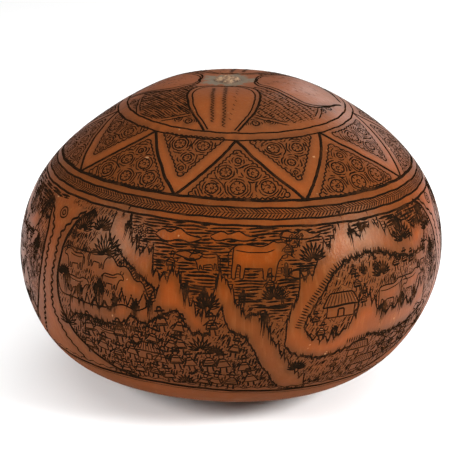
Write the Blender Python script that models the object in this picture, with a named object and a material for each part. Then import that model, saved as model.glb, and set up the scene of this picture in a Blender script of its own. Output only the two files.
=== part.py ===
"""Dried bottle gourd, broad and squat, with the corky scar of its stem on top and a sanded flat below.

The gourd is one solid: an outline turned about the upright axis, then leaned and swelled a little, as
a fruit that grew lying on the ground is. Metres, +Z up. The origin is the middle of the sanded flat.
"""

import math

import bmesh
import bpy
import numpy as np

# Outline of the shell as (radius, height), from the shoulder of the stem scar down to the flat.
OUTLINE = [
    (0.0130, 0.1333),
    (0.0270, 0.1327),
    (0.0400, 0.1285),
    (0.0590, 0.1177),
    (0.0765, 0.1036),
    (0.0902, 0.0833),
    (0.0950, 0.0593),
    (0.0898, 0.0352),
    (0.0760, 0.0156),
    (0.0540, 0.0060),
    (0.0350, 0.0022),
    (0.0220, 0.0000),
]
OUTLINE_STEPS = 34

# Stem scar as (radius, height), from its middle out to the crown: a corky stub in a shallow dip.
STEM_SCAR = [
    (0.0000, 0.1338),
    (0.0028, 0.1341),
    (0.0047, 0.1340),
    (0.0058, 0.1333),
    (0.0068, 0.1326),
    (0.0085, 0.1326),
    (0.0108, 0.1330),
]

TURN_STEPS = 72
MERGE_DISTANCE = 0.00001

# The middle line drifts sideways going up: shares of the half width, for the first, second and third
# power of the height above the belly in half widths.
HALF_WIDTH = 0.0950
BELLY_HEIGHT = 0.0593
DRIFT = (0.058, -0.031, -0.064)

# The stem scar sits a little off that line. The crown slides with it and the shoulder stays.
SCAR_OFFSET = (-0.0017, 0.0033)
SLIDE_START = 0.012
SLIDE_END = 0.048

# The wall is a little wider in some directions: (number of swells, share of the radius, direction).
SWELLS = [
    (2, 0.0060, math.radians(28.0)),
    (3, 0.0165, math.radians(39.5)),
]

SHELL_COLOUR = (0.36, 0.115, 0.045, 1.0)
SHELL_ROUGHNESS = 0.38


def clear_scene():
    """Remove every object that the file opened with."""
    for old_object in list(bpy.data.objects):
        bpy.data.objects.remove(old_object, do_unlink=True)


def spline_bends(places, values):
    """Second derivatives of the cubic spline through the values, with none at either end."""
    count = len(places)
    gaps = np.diff(places)
    slopes = np.diff(values) / gaps
    matrix = np.zeros((count, count))
    right = np.zeros(count)
    matrix[0, 0] = 1.0
    matrix[-1, -1] = 1.0
    for row in range(1, count - 1):
        matrix[row, row - 1] = gaps[row - 1]
        matrix[row, row] = 2.0 * (gaps[row - 1] + gaps[row])
        matrix[row, row + 1] = gaps[row]
        right[row] = 6.0 * (slopes[row] - slopes[row - 1])
    return np.linalg.solve(matrix, right)


def spline_values(places, values, wanted):
    """Values of the natural cubic spline through the points, at the wanted places."""
    bends = spline_bends(places, values)
    gaps = np.diff(places)
    index = np.clip(np.searchsorted(places, wanted) - 1, 0, len(gaps) - 1)
    gap = gaps[index]
    after = (wanted - places[index]) / gap
    before = 1.0 - after
    bent = (before ** 3 - before) * bends[index] + (after ** 3 - after) * bends[index + 1]
    return before * values[index] + after * values[index + 1] + bent * gap ** 2 / 6.0


def smooth_outline():
    """Points along a smooth curve through OUTLINE, evenly spread along its chords."""
    points = np.array(OUTLINE)
    chords = np.hypot(*np.diff(points, axis=0).T)
    places = np.concatenate([[0.0], np.cumsum(chords)])
    wanted = np.linspace(0.0, places[-1], OUTLINE_STEPS + 1)
    radii = spline_values(places, points[:, 0], wanted)
    heights = spline_values(places, points[:, 1], wanted)
    return np.stack([radii, heights], axis=1)


def turned_outline():
    """The whole outline: the stem scar, the shell, and the flat in to the axis."""
    shell = smooth_outline()
    shell[-1, 1] = 0.0
    flat_middle = np.array([(0.0, 0.0)])
    return np.concatenate([np.array(STEM_SCAR), shell, flat_middle])


def turn_outline(outline):
    """A closed body: the outline spun once about the upright axis, with its poles merged."""
    body = bmesh.new()
    corners = [body.verts.new((radius, 0.0, height)) for radius, height in outline]
    edges = [body.edges.new(pair) for pair in zip(corners[:-1], corners[1:])]
    bmesh.ops.spin(
        body,
        geom=corners + edges,
        cent=(0.0, 0.0, 0.0),
        axis=(0.0, 0.0, 1.0),
        angle=2.0 * math.pi,
        steps=TURN_STEPS,
        use_duplicate=False,
    )
    bmesh.ops.remove_doubles(body, verts=body.verts[:], dist=MERGE_DISTANCE)
    return body


def grown_shape(points):
    """Points of the turned body moved to the grown one.

    The radius takes its swells, the crown slides to the stem scar, and the middle line drifts. Then the
    whole is centred over the origin.
    """
    radius = np.hypot(points[:, 0], points[:, 1])
    angle = np.arctan2(points[:, 0], -points[:, 1])
    swell = np.ones(len(points))
    for count, share, direction in SWELLS:
        swell += share * np.clip(radius / HALF_WIDTH, 0.0, 1.0) * np.cos(count * (angle - direction))
    travel = np.clip((radius - SLIDE_START) / (SLIDE_END - SLIDE_START), 0.0, 1.0)
    slide = np.where(points[:, 2] > BELLY_HEIGHT, 0.5 + 0.5 * np.cos(math.pi * travel), 0.0)
    rise = (points[:, 2] - BELLY_HEIGHT) / HALF_WIDTH
    drift = HALF_WIDTH * sum(share * rise ** power for power, share in enumerate(DRIFT, start=1))
    grown = points.copy()
    grown[:, 0] = points[:, 0] * swell + drift + slide * SCAR_OFFSET[0]
    grown[:, 1] = points[:, 1] * swell + slide * SCAR_OFFSET[1]
    middle = 0.5 * (grown.min(axis=0) + grown.max(axis=0))
    grown[:, :2] -= middle[:2]
    return grown


def shell_material():
    """Red-brown dried skin, rubbed to a low waxy shine."""
    material = bpy.data.materials.new("gourd_skin")
    material.use_nodes = True
    shader = material.node_tree.nodes["Principled BSDF"]
    shader.inputs["Base Color"].default_value = SHELL_COLOUR
    shader.inputs["Roughness"].default_value = SHELL_ROUGHNESS
    shader.inputs["Metallic"].default_value = 0.0
    return material


def make_gourd():
    """The gourd as one object, standing on its flat."""
    body = turn_outline(turned_outline())
    bmesh.ops.recalc_face_normals(body, faces=body.faces[:])
    bmesh.ops.triangulate(body, faces=body.faces[:])
    mesh = bpy.data.meshes.new("gourd")
    body.to_mesh(mesh)
    body.free()
    flat_points = np.empty(len(mesh.vertices) * 3)
    mesh.vertices.foreach_get("co", flat_points)
    grown = grown_shape(flat_points.reshape(-1, 3))
    mesh.vertices.foreach_set("co", grown.ravel())
    mesh.update()
    mesh.shade_smooth()
    mesh.materials.append(shell_material())
    gourd = bpy.data.objects.new("gourd", mesh)
    bpy.context.scene.collection.objects.link(gourd)


clear_scene()
make_gourd()
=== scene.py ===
"""Dried bottle gourd engraved all round with burnt lines.

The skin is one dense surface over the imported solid. Every engraved line is a thin burnt strip carried along
a path on that surface, so lines stay sharp at any distance. Paths are drawn in degrees round the gourd
("turn", 0 at the front, growing to the right) and millimetres down the skin from the stem ("down").
"""

import math

import bpy
import numpy as np
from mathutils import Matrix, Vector


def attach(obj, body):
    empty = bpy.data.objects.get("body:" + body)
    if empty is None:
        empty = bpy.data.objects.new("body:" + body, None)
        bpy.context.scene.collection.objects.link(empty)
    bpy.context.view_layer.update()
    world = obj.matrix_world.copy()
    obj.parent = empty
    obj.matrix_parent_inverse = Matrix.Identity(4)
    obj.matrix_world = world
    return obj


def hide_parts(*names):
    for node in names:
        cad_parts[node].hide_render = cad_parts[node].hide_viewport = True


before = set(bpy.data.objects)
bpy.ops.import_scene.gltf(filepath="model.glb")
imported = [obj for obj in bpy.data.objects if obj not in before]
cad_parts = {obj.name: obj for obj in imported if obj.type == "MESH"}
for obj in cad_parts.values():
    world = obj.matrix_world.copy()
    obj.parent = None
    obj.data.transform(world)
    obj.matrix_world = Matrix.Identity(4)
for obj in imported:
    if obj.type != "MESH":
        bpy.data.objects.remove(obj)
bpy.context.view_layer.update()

MM = 0.001
TAU = 2.0 * math.pi


# ---------------------------------------------------------------- shape of the gourd

# The same outline as the solid: (radius, height) from the shoulder of the stem scar down to the flat.
OUTLINE = [
    (0.0130, 0.1333),
    (0.0270, 0.1327),
    (0.0400, 0.1285),
    (0.0590, 0.1177),
    (0.0765, 0.1036),
    (0.0902, 0.0833),
    (0.0950, 0.0593),
    (0.0898, 0.0352),
    (0.0760, 0.0156),
    (0.0540, 0.0060),
    (0.0350, 0.0022),
    (0.0220, 0.0000),
]
OUTLINE_STEPS = 600
HALF_WIDTH = 0.0950
BELLY_HEIGHT = 0.0593
DRIFT = (0.058, -0.031, -0.064)
SCAR_OFFSET = (-0.0017, 0.0033)
SLIDE_START = 0.012
SLIDE_END = 0.048
SWELLS = [
    (2, 0.0060, math.radians(28.0)),
    (3, 0.0165, math.radians(39.5)),
]
DIP_RADIUS = 0.0115
DIP_DEPTH = 0.0006

# Shallow waves of the wall: (height of the wave, radians per metre along x, y and z).
WALL_WAVES = [
    (0.00016, (52.0, 31.0, 44.0)),
    (0.00012, (-38.0, 67.0, 58.0)),
    (0.00008, (83.0, -46.0, 91.0)),
]
WAVE_FADE_HEIGHT = 0.012
# Each wave starts at its own height times this.
WAVE_START = 1.0e4

CENTRE_STEPS = 72
# The small steps round and down that give the way out of the skin.
PROBE_ANGLE = 0.002
PROBE_WAY = 0.0004
TINY = 1.0e-12


def spline_bends(places, values):
    """Second derivatives of the cubic spline through the values, with none at either end."""
    count = len(places)
    gaps = np.diff(places)
    slopes = np.diff(values) / gaps
    matrix = np.zeros((count, count))
    right = np.zeros(count)
    matrix[0, 0] = 1.0
    matrix[-1, -1] = 1.0
    rows = np.arange(1, count - 1)
    matrix[rows, rows - 1] = gaps[:-1]
    matrix[rows, rows] = 2.0 * (gaps[:-1] + gaps[1:])
    matrix[rows, rows + 1] = gaps[1:]
    right[rows] = 6.0 * np.diff(slopes)
    return np.linalg.solve(matrix, right)


def spline_values(places, values, wanted):
    """Cubic spline: a straight share of both ends of a span, plus each end's bend times its cubic."""
    bends = spline_bends(places, values)
    gaps = np.diff(places)
    index = np.clip(np.searchsorted(places, wanted) - 1, 0, len(gaps) - 1)
    gap = gaps[index]
    after = (wanted - places[index]) / gap
    before = 1.0 - after
    bent = (before ** 3 - before) * bends[index] + (after ** 3 - after) * bends[index + 1]
    return before * values[index] + after * values[index + 1] + bent * gap ** 2 / 6.0


def outline_tables():
    """Radius and height of the outline, and the way down the skin from the stem to each of them."""
    points = np.array(OUTLINE)
    chords = np.hypot(*np.diff(points, axis=0).T)
    places = np.concatenate([[0.0], np.cumsum(chords)])
    wanted = np.linspace(0.0, places[-1], OUTLINE_STEPS + 1)
    radius = np.concatenate([[0.0], spline_values(places, points[:, 0], wanted), [0.0]])
    height = np.concatenate([[OUTLINE[0][1]], spline_values(places, points[:, 1], wanted), [0.0]])
    height[-2] = 0.0
    way = np.concatenate([[0.0], np.cumsum(np.hypot(np.diff(radius), np.diff(height)))])
    return radius, height, way


RADIUS_TABLE, HEIGHT_TABLE, WAY_TABLE = outline_tables()


def turned_point(angle, way):
    """The outline turned to an angle, then grown: the radius takes its swells, the crown slides to the
    stem scar, and the middle line drifts sideways as a cubic of the height."""
    radius = np.interp(way, WAY_TABLE, RADIUS_TABLE)
    height = np.interp(way, WAY_TABLE, HEIGHT_TABLE)
    swell = 1.0
    for count, share, direction in SWELLS:
        reach = np.clip(radius / HALF_WIDTH, 0.0, 1.0)
        swell = swell + share * reach * np.cos(count * (angle - direction))
    travel = np.clip((radius - SLIDE_START) / (SLIDE_END - SLIDE_START), 0.0, 1.0)
    slide = np.where(height > BELLY_HEIGHT, 0.5 + 0.5 * np.cos(math.pi * travel), 0.0)
    rise = (height - BELLY_HEIGHT) / HALF_WIDTH
    drift = HALF_WIDTH * sum(share * rise ** power for power, share in enumerate(DRIFT, start=1))
    x = radius * swell * np.sin(angle) + drift + slide * SCAR_OFFSET[0]
    y = -radius * swell * np.cos(angle) + slide * SCAR_OFFSET[1]
    dip = np.clip(1.0 - radius / DIP_RADIUS, 0.0, 1.0)
    near_top = height > BELLY_HEIGHT
    z = height - near_top * DIP_DEPTH * (3.0 * dip ** 2 - 2.0 * dip ** 3)
    return np.stack(np.broadcast_arrays(x, y, z), axis=-1)


def centre_shift():
    """How far the grown shape has to move sideways for its box to sit over the origin."""
    angles = np.linspace(0.0, TAU, CENTRE_STEPS, endpoint=False)[:, None]
    points = turned_point(angles, WAY_TABLE[None, :]).reshape(-1, 3)
    middle = 0.5 * (points.min(axis=0) + points.max(axis=0))
    return np.array([middle[0], middle[1], 0.0])


CENTRE = centre_shift()


def wall_wave(points):
    """Small rise of the wall: a sum of sines of the place, faded out towards the flat."""
    rise = np.zeros(points.shape[:-1])
    for height, waves in WALL_WAVES:
        rise = rise + height * np.sin(points @ np.array(waves) + height * WAVE_START)
    return rise * np.clip(points[..., 2] / WAVE_FADE_HEIGHT, 0.0, 1.0)


def skin_point(turn, down):
    """Place on the skin and the way out of it, at a turn in degrees and a way down in millimetres.

    The way out is the cross product of a small step round and a small step down."""
    angle = np.radians(turn)
    way = np.clip(down * MM, 0.0, WAY_TABLE[-1])
    here = turned_point(angle, way)
    round_step = turned_point(angle + PROBE_ANGLE, way) - turned_point(angle - PROBE_ANGLE, way)
    down_step = turned_point(angle, way + PROBE_WAY) - turned_point(angle, way - PROBE_WAY)
    out = np.cross(down_step, round_step)
    out = out / np.maximum(np.linalg.norm(out, axis=-1, keepdims=True), TINY)
    here = here - CENTRE
    return here + out * wall_wave(here)[..., None], out


def radius_mm(down):
    """Radius of the turned outline, in millimetres, at a way down in millimetres."""
    return np.interp(np.asarray(down) * MM, WAY_TABLE, RADIUS_TABLE) / MM


def degree_mm(down, least):
    """Millimetres per degree of turn at a way down, as if the radius were never under `least`."""
    return np.maximum(radius_mm(down), least) * TAU / 360.0


# ---------------------------------------------------------------- making meshes

def closed_faces(rows, columns):
    """Faces of a grid of rows round an axis, closed by a fan at each pole. The first point is the upper
    pole and the last one the lower."""
    column = np.arange(columns)
    after = (column + 1) % columns
    row = np.arange(rows - 1)[:, None] * columns + 1
    quads = np.stack([row + column, row + columns + column, row + columns + after, row + after], axis=-1)
    lowest = 1 + (rows - 1) * columns
    last = np.full(columns, rows * columns + 1)
    upper = np.stack([np.zeros(columns, int), 1 + column, 1 + after], axis=1)
    lower = np.stack([lowest + column, last, lowest + after], axis=1)
    return [quads.reshape(-1, 4), upper, lower]


def mesh_piece(name, points, faces, material):
    """One smooth object at the origin. Its faces come as arrays of point numbers, one array for each
    number of corners."""
    mesh = bpy.data.meshes.new(name)
    loops = np.concatenate([group.ravel() for group in faces]).astype(np.int32)
    sizes = np.concatenate([np.full(len(group), group.shape[1]) for group in faces])
    starts = np.concatenate([[0], np.cumsum(sizes)[:-1]]).astype(np.int32)
    mesh.vertices.add(len(points))
    mesh.vertices.foreach_set("co", np.ascontiguousarray(points, np.float32).ravel())
    mesh.loops.add(len(loops))
    mesh.loops.foreach_set("vertex_index", loops)
    mesh.polygons.add(len(sizes))
    mesh.polygons.foreach_set("loop_start", starts)
    mesh.update(calc_edges=True)
    mesh.polygons.foreach_set("use_smooth", np.full(len(sizes), True))
    mesh.materials.append(material)
    piece = bpy.data.objects.new(name, mesh)
    bpy.context.scene.collection.objects.link(piece)
    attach(piece, "root")
    return piece


# The strokes' map runs this many degrees to either side, for strokes that cross the back.
MAP_REACH = 202.0


def corner_points(mesh):
    """The number of the point at each face corner."""
    corner = np.empty(len(mesh.loops), np.int32)
    mesh.loops.foreach_get("vertex_index", corner)
    return corner


def write_map(mesh, across, down):
    """UV map of the flattened skin: a share of its width, and one less the way down as its height."""
    along = 1.0 - down * MM / WAY_TABLE[-1]
    layer = mesh.uv_layers.new(name="OFBake")
    layer.data.foreach_set("uv", np.stack([across, along], axis=1).astype(np.float32).ravel())


def give_map(piece, turns, downs):
    """Map of the strokes, whose width is once round and a margin."""
    corner = corner_points(piece.data)
    write_map(piece.data, (turns[corner] + MAP_REACH) / (2.0 * MAP_REACH), downs[corner])


def give_attribute(piece, name, values):
    """A number for each point of the piece, which its material reads by name."""
    numbers = piece.data.attributes.new(name, "FLOAT", "POINT")
    numbers.data.foreach_set("value", np.ascontiguousarray(values, np.float32))


# ---------------------------------------------------------------- the burnt line

PATH_STEP = 1.6
CREST_HEIGHT = 0.036 * MM
FOOT_DEPTH = 0.012 * MM
TIP_SHARE = 0.40
TIP_LENGTH = 0.6
SHORTEST_LINE = 0.15
SHORTEST_SPIKE = 0.2
SPIKE_STEP = 2.0
SPIKE_TAPER = 0.85

# Shaking of the hand: (size in millimetres, radians per degree, radians per millimetre, start).
HAND_WAVES = [
    (0.13, 0.35, 0.42, 0.0),
    (0.08, -0.83, 0.95, 2.1),
]
# The shake up and down runs this many times as fast as the one sideways.
HAND_RATIO = 1.3


def shaken(path):
    """The path with the hand's shake: each sine of the place moves it a fraction of a millimetre."""
    turn, down = path[:, 0], path[:, 1]
    aside = np.zeros(len(path))
    along = np.zeros(len(path))
    for size, per_turn, per_down, start in HAND_WAVES:
        phase = turn * per_turn + down * per_down + start
        aside += size * np.sin(phase)
        along += size * np.cos(phase * HAND_RATIO)
    return np.stack([turn + aside / degree_mm(down, 4.0), down + along], axis=1)


def even_path(path, step=PATH_STEP):
    """The path with points at even steps of at most `step` millimetres, how far along each of them lies,
    and the path's length."""
    scale = degree_mm(path[:, 1], 1.0)
    middle = 0.5 * (scale[1:] + scale[:-1])
    chords = np.hypot(np.diff(path[:, 0]) * middle, np.diff(path[:, 1]))
    places = np.concatenate([[0.0], np.cumsum(chords)])
    length = places[-1]
    count = max(2, int(math.ceil(length / step)) + 1)
    wanted = np.linspace(0.0, length, count)
    even = np.stack([np.interp(wanted, places, path[:, 0]), np.interp(wanted, places, path[:, 1])], axis=1)
    return even, wanted, length


class Pen:
    """Collects the paths of one group of burnt lines, then makes them one piece."""

    def __init__(self):
        """Starts with no line."""
        self.paths = []
        self.widths = []

    def line(self, path, width=0.5, tapered=True, step=PATH_STEP):
        """Adds a path of (turn, down) points. A tapered line narrows over its last stretch at both ends."""
        path = np.asarray(path, float)
        even, places, length = even_path(path, step)
        if length < SHORTEST_LINE:
            return
        widths = np.full(len(even), float(width))
        if tapered:
            tip = min(TIP_LENGTH, 0.5 * length)
            near = np.minimum(places, length - places) / tip
            widths = widths * (TIP_SHARE + (1.0 - TIP_SHARE) * np.clip(near, 0.0, 1.0))
        self.paths.append(shaken(even))
        self.widths.append(widths)

    def spike(self, start, end, width):
        """A short burnt wedge, full width at its start and narrowing to its end."""
        path = np.array([start, end], float)
        even, places, length = even_path(path, SPIKE_STEP)
        if length < SHORTEST_SPIKE:
            return
        self.paths.append(shaken(even))
        self.widths.append(width * (1.0 - SPIKE_TAPER * places / length))

    def piece(self, name, material):
        """The strips as one mesh. Across a path, a strip has a left foot, a crest and a right foot: the
        feet lie half a width to either side, under the skin, and the crest lies over it."""
        places = np.concatenate(self.paths)
        widths = np.concatenate(self.widths) * MM
        counts = np.array([len(path) for path in self.paths])
        ends = np.cumsum(counts) - 1
        starts = ends - counts + 1
        is_start = np.zeros(len(places), bool)
        is_end = np.zeros(len(places), bool)
        is_start[starts] = True
        is_end[ends] = True
        points, out = skin_point(places[:, 0], places[:, 1])
        index = np.arange(len(places))
        after = np.where(is_end, index, index + 1 - is_end)
        before = np.where(is_start, index, index - 1)
        ahead = points[after] - points[before]
        aside = np.cross(out, ahead)
        aside = aside / np.maximum(np.linalg.norm(aside, axis=1, keepdims=True), TINY)
        half = 0.5 * widths[:, None] * aside
        left = points + half - out * FOOT_DEPTH
        crest = points + out * CREST_HEIGHT
        right = points - half - out * FOOT_DEPTH
        mesh_points = np.stack([left, crest, right], axis=1).reshape(-1, 3)
        turn_size = np.radians(np.maximum(radius_mm(places[:, 1]), 1.0))
        run = (places[after] - places[before]) * np.stack([turn_size, np.ones_like(turn_size)], axis=1)
        run = 0.5e3 * widths[:, None] * run / np.maximum(np.linalg.norm(run, axis=1, keepdims=True), 1.0e-9)
        means = np.add.reduceat(places[:, 0], starts) / counts
        whole_turns = np.repeat(360.0 * np.rint(means / 360.0), counts)
        sides = np.array([-1.0, 0.0, 1.0])
        map_turns = (places[:, 0] - whole_turns)[:, None] + sides * (-run[:, 1] / turn_size)[:, None]
        map_downs = places[:, 1:] + sides * run[:, :1]
        first = index[~is_end] * 3
        after = first + 3
        quads = [
            np.stack([first, first + 1, after + 1, after], axis=1),
            np.stack([first + 1, first + 2, after + 2, after + 1], axis=1),
            np.stack([first + 2, first, after, after + 2], axis=1),
        ]
        caps = [
            np.stack([starts * 3, starts * 3 + 2, starts * 3 + 1], axis=1),
            np.stack([ends * 3, ends * 3 + 1, ends * 3 + 2], axis=1),
        ]
        piece = mesh_piece(name, mesh_points, quads + caps, material)
        give_map(piece, map_turns.ravel(), map_downs.ravel())
        return piece


# ---------------------------------------------------------------- curves and clipping

def curve_through(points, closed=False, per_span=6):
    """A smooth path through the points: on each span a cubic whose slope at a point is half the step
    between that point's neighbours."""
    points = np.asarray(points, float)
    if closed:
        padded = np.concatenate([points[-1:], points, points[:2]])
    else:
        padded = np.concatenate([[2 * points[0] - points[1]], points, [2 * points[-1] - points[-2]]])
    before, start, end, after = (padded[k:len(padded) - 3 + k][:, None] for k in range(4))
    share = np.linspace(0.0, 1.0, per_span, endpoint=False)[None, :, None]
    curve = 0.5 * (
        2.0 * start
        + (end - before) * share
        + (2.0 * before - 5.0 * start + 4.0 * end - after) * share ** 2
        + (3.0 * start - before - 3.0 * end + after) * share ** 3
    )
    last = padded[-2] if not closed else padded[1]
    return np.concatenate([curve.reshape(-1, 2), [last]])


def inside(points, outline):
    """Which points lie inside a closed outline: those from which a ray crosses its sides an odd number
    of times."""
    x, y = points[:, 0][:, None], points[:, 1][:, None]
    x0, y0 = outline[:, 0][None], outline[:, 1][None]
    x1, y1 = np.roll(outline[:, 0], -1)[None], np.roll(outline[:, 1], -1)[None]
    straddles = (y0 > y) != (y1 > y)
    rise = np.where(np.abs(y1 - y0) < 1.0e-9, 1.0e-9, y1 - y0)
    crosses = straddles & (x < x0 + (y - y0) * (x1 - x0) / rise)
    return crosses.sum(axis=1) % 2 == 1


def clear_of(points, bare):
    """Which points lie in none of the bare shapes."""
    free = np.ones(len(points), bool)
    for outline in bare:
        low, high = outline.min(axis=0), outline.max(axis=0)
        near = ((points >= low) & (points <= high)).all(axis=1) & free
        free[near] = ~inside(points[near], outline)
    return free


def runs(mask):
    """Start and end places of each run of true values."""
    padded = np.concatenate([[False], mask, [False]])
    change = np.flatnonzero(padded[1:] != padded[:-1])
    return change[0::2], change[1::2]


BELT_SCALE = np.array([1.60, -1.0])


def belt_flat(path):
    """Places on the belt as a flat drawing in millimetres, x to the right and y up."""
    return np.asarray(path, float) * BELT_SCALE


def belt_place(path):
    """Points of the flat drawing of the belt, back on the skin."""
    return np.asarray(path, float) / BELT_SCALE


HATCH_SAMPLE = 0.45
HATCH_JITTER = 0.18
HATCH_STEP = 2.2
# How rows bend: (share of the bend, radians per millimetre along the row and across it).
HATCH_WAVES = [(1.0, 0.45, 0.8), (0.5, 0.17, -0.31)]


def hatch(pen, region, place, bare, pitch, tilt, width, dash, gap, seed, wave):
    """Rows of burnt dashes over a flat region, left out where a bare shape of the skin lies.

    A row is a straight line tilted by `tilt` degrees, rows lie `pitch` millimetres apart, and each row
    breaks for `gap` after about `dash` millimetres. `wave` bends the rows as a sum of two sines."""
    rng = np.random.default_rng(seed)
    cosine, sine = math.cos(math.radians(tilt)), math.sin(math.radians(tilt))
    along = region @ [cosine, sine]
    across = region @ [-sine, cosine]
    steps = np.arange(along.min(), along.max(), HATCH_SAMPLE)[None, :]
    rows = np.arange(across.min() + 0.5 * pitch, across.max(), pitch)[:, None]
    if steps.size < 3 or rows.size < 1:
        return
    offset = rows + rng.uniform(-HATCH_JITTER, HATCH_JITTER, rows.shape) * pitch
    bend = sum(share * np.sin(steps * on + rows * over) for share, on, over in HATCH_WAVES)
    bent = offset + wave * bend
    flat = np.stack([steps * cosine - bent * sine, steps * sine + bent * cosine], axis=-1)
    places = place(flat.reshape(-1, 2))
    period = dash * rng.uniform(0.7, 1.3, rows.shape)
    phase = (steps + rng.uniform(0.0, dash, rows.shape)) % period
    mask = (phase > gap).ravel() & inside(flat.reshape(-1, 2), region)
    mask[mask] = clear_of(places[mask], bare)
    mask = mask.reshape(flat.shape[:2])
    places = places.reshape(flat.shape)
    for row in range(len(rows)):
        for start, end in zip(*runs(mask[row])):
            if end - start > 1:
                pen.line(places[row, start:end], width * rng.uniform(0.75, 1.2), step=HATCH_STEP)


def hatch_all(pen, region, place, bare, recipes, seed):
    """Hatches a region once for each recipe: (pitch, tilt, width, dash, gap, wave, step of the seed)."""
    for pitch, tilt, width, dash, gap, wave, seed_step in recipes:
        hatch(pen, region, place, bare, pitch, tilt, width, dash, gap, seed + seed_step, wave)


ARC_RINGS = 9
ARC_START = 0.75
ARC_RIPPLE = 0.30
ARC_LOBE = 3.2
ARC_BREAK = -0.93
ARC_STEP = 1.1


def arcs(pen, region, place, middles, pitch, width, bare, seed):
    """Ruffled arcs round each middle, kept inside a flat region and to the middle they are nearest to.

    A middle is (x, y, radius). The arcs lie `pitch` apart, and their distance ripples as the absolute sine
    of the angle."""
    rng = np.random.default_rng(seed)
    circles = np.array(middles, float)
    for number, (x, y, size) in enumerate(circles):
        for ring in range(ARC_RINGS):
            distance = size + ARC_START * pitch + ring * pitch
            count = int(TAU * distance / HATCH_SAMPLE)
            angle = np.linspace(0.0, TAU, count) + rng.uniform(0.0, TAU)
            lobes = int(round(TAU * distance / ARC_LOBE))
            ripple = distance + ARC_RIPPLE * np.abs(np.sin(0.5 * lobes * angle)) * pitch
            flat = np.stack([x + ripple * np.cos(angle), y + ripple * np.sin(angle)], axis=1)
            gaps = np.linalg.norm(flat[:, None] - circles[None, :, :2], axis=2) - circles[None, :, 2]
            mask = (gaps.argmin(axis=1) == number) & inside(flat, region)
            mask &= np.sin(angle * rng.integers(2, 5) + rng.uniform(0.0, TAU)) > ARC_BREAK
            places = place(flat)
            mask[mask] = clear_of(places[mask], bare)
            for start, end in zip(*runs(mask)):
                if end - start > 2:
                    pen.line(places[start:end], width * rng.uniform(0.8, 1.2), step=ARC_STEP)


def scalloped(path, pitch, height):
    """A path whose bumps to one side follow the absolute sine of the way along."""
    path = np.asarray(path, float)
    chords = np.hypot(*np.diff(path, axis=0).T)
    places = np.concatenate([[0.0], np.cumsum(chords)])
    bumps = max(2, int(round(places[-1] / pitch)))
    wanted = np.linspace(0.0, places[-1], bumps * 6 + 1)
    even = np.stack([np.interp(wanted, places, path[:, 0]), np.interp(wanted, places, path[:, 1])], axis=1)
    ahead = np.gradient(even, axis=0)
    aside = np.stack([-ahead[:, 1], ahead[:, 0]], axis=1)
    aside = aside / np.linalg.norm(aside, axis=1, keepdims=True)
    return even + aside * (height * np.abs(np.sin(math.pi * bumps * wanted / places[-1])))[:, None]


# ---------------------------------------------------------------- motifs

class Motif:
    """A small drawing in millimetres, x to the right and y up: its lines, and the outline it keeps bare."""

    def __init__(self, outline=None):
        """Starts with no line."""
        self.lines = []
        self.outline = outline

    def add(self, path, width=0.45, tapered=True):
        """Adds one line and returns the motif."""
        self.lines.append((np.asarray(path, float), width, tapered))
        return self

    def loop(self, path, width):
        """Adds one line that ends where it starts."""
        path = np.asarray(path, float)
        return self.add(np.concatenate([path, path[:1]]), width, tapered=False)


def set_down(pen, motif, turn, down, size=1.0, flip=1.0, tilt=0.0):
    """Draws a motif with its origin at a place on the skin. Returns its bare outline on the skin."""
    cosine, sine = math.cos(math.radians(tilt)), math.sin(math.radians(tilt))

    def placed(path):
        """The drawing's points on the skin: sized, turned by the tilt, and moved to the place."""
        x = path[:, 0] * flip * size
        y = path[:, 1] * size
        across = x * cosine - y * sine
        up = x * sine + y * cosine
        lower = down - up
        return np.stack([turn + across / degree_mm(lower, 2.0), lower], axis=1)

    for path, width, tapered in motif.lines:
        pen.line(placed(path), width, tapered, step=1.0)
    return placed(motif.outline) if motif.outline is not None else None


def circle(x, y, radius, count):
    """A circle: its radius times the cosine and the sine of the angle, moved to its middle."""
    angle = np.linspace(0.0, TAU, count)
    return np.stack([x + radius * np.cos(angle), y + radius * np.sin(angle)], axis=1)


def agave(reach, blades=11, width=0.8):
    """A fan of pointed blades from one root, longest in the middle."""
    motif = Motif()
    angles = np.radians(np.linspace(-78.0, 78.0, blades))
    for angle in angles:
        length = reach * (0.72 + 0.28 * math.cos(angle))
        tip = np.array([math.sin(angle), math.cos(angle)]) * length
        side = np.array([math.cos(angle), -math.sin(angle)]) * reach * 0.07
        motif.add([0.12 * tip - side * 0.3, 0.5 * tip - side, tip], width)
        motif.add([0.12 * tip + side * 0.3, 0.5 * tip + side, tip], width * 0.7)
    rim = [(math.sin(a) * reach, math.cos(a) * reach) for a in angles]
    motif.outline = np.array([(-0.3 * reach, -0.1 * reach)] + rim + [(0.3 * reach, -0.1 * reach)])
    return motif


# A cow seen from the side, head to the right, from the tail over the back and round by the four legs.
COW_OUTLINE = [
    (-5.2, 3.6), (-4.6, 4.2), (-2.5, 4.3), (0.5, 4.0), (2.0, 4.5), (2.9, 5.3), (4.0, 5.0), (4.8, 5.2),
    (5.9, 4.9), (7.4, 3.0), (6.9, 2.2), (5.9, 2.6), (5.0, 2.2), (4.3, 0.9), (3.9, -0.2), (3.7, -3.0),
    (2.9, -3.0), (2.8, -0.3), (2.2, -0.5), (1.9, -2.9), (1.2, -2.9), (1.1, -0.6), (-2.6, -0.5),
    (-2.8, -2.9), (-3.5, -2.9), (-3.6, -0.2), (-4.3, 0.2), (-4.5, -3.0), (-5.3, -3.0), (-5.4, 1.0),
]


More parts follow.
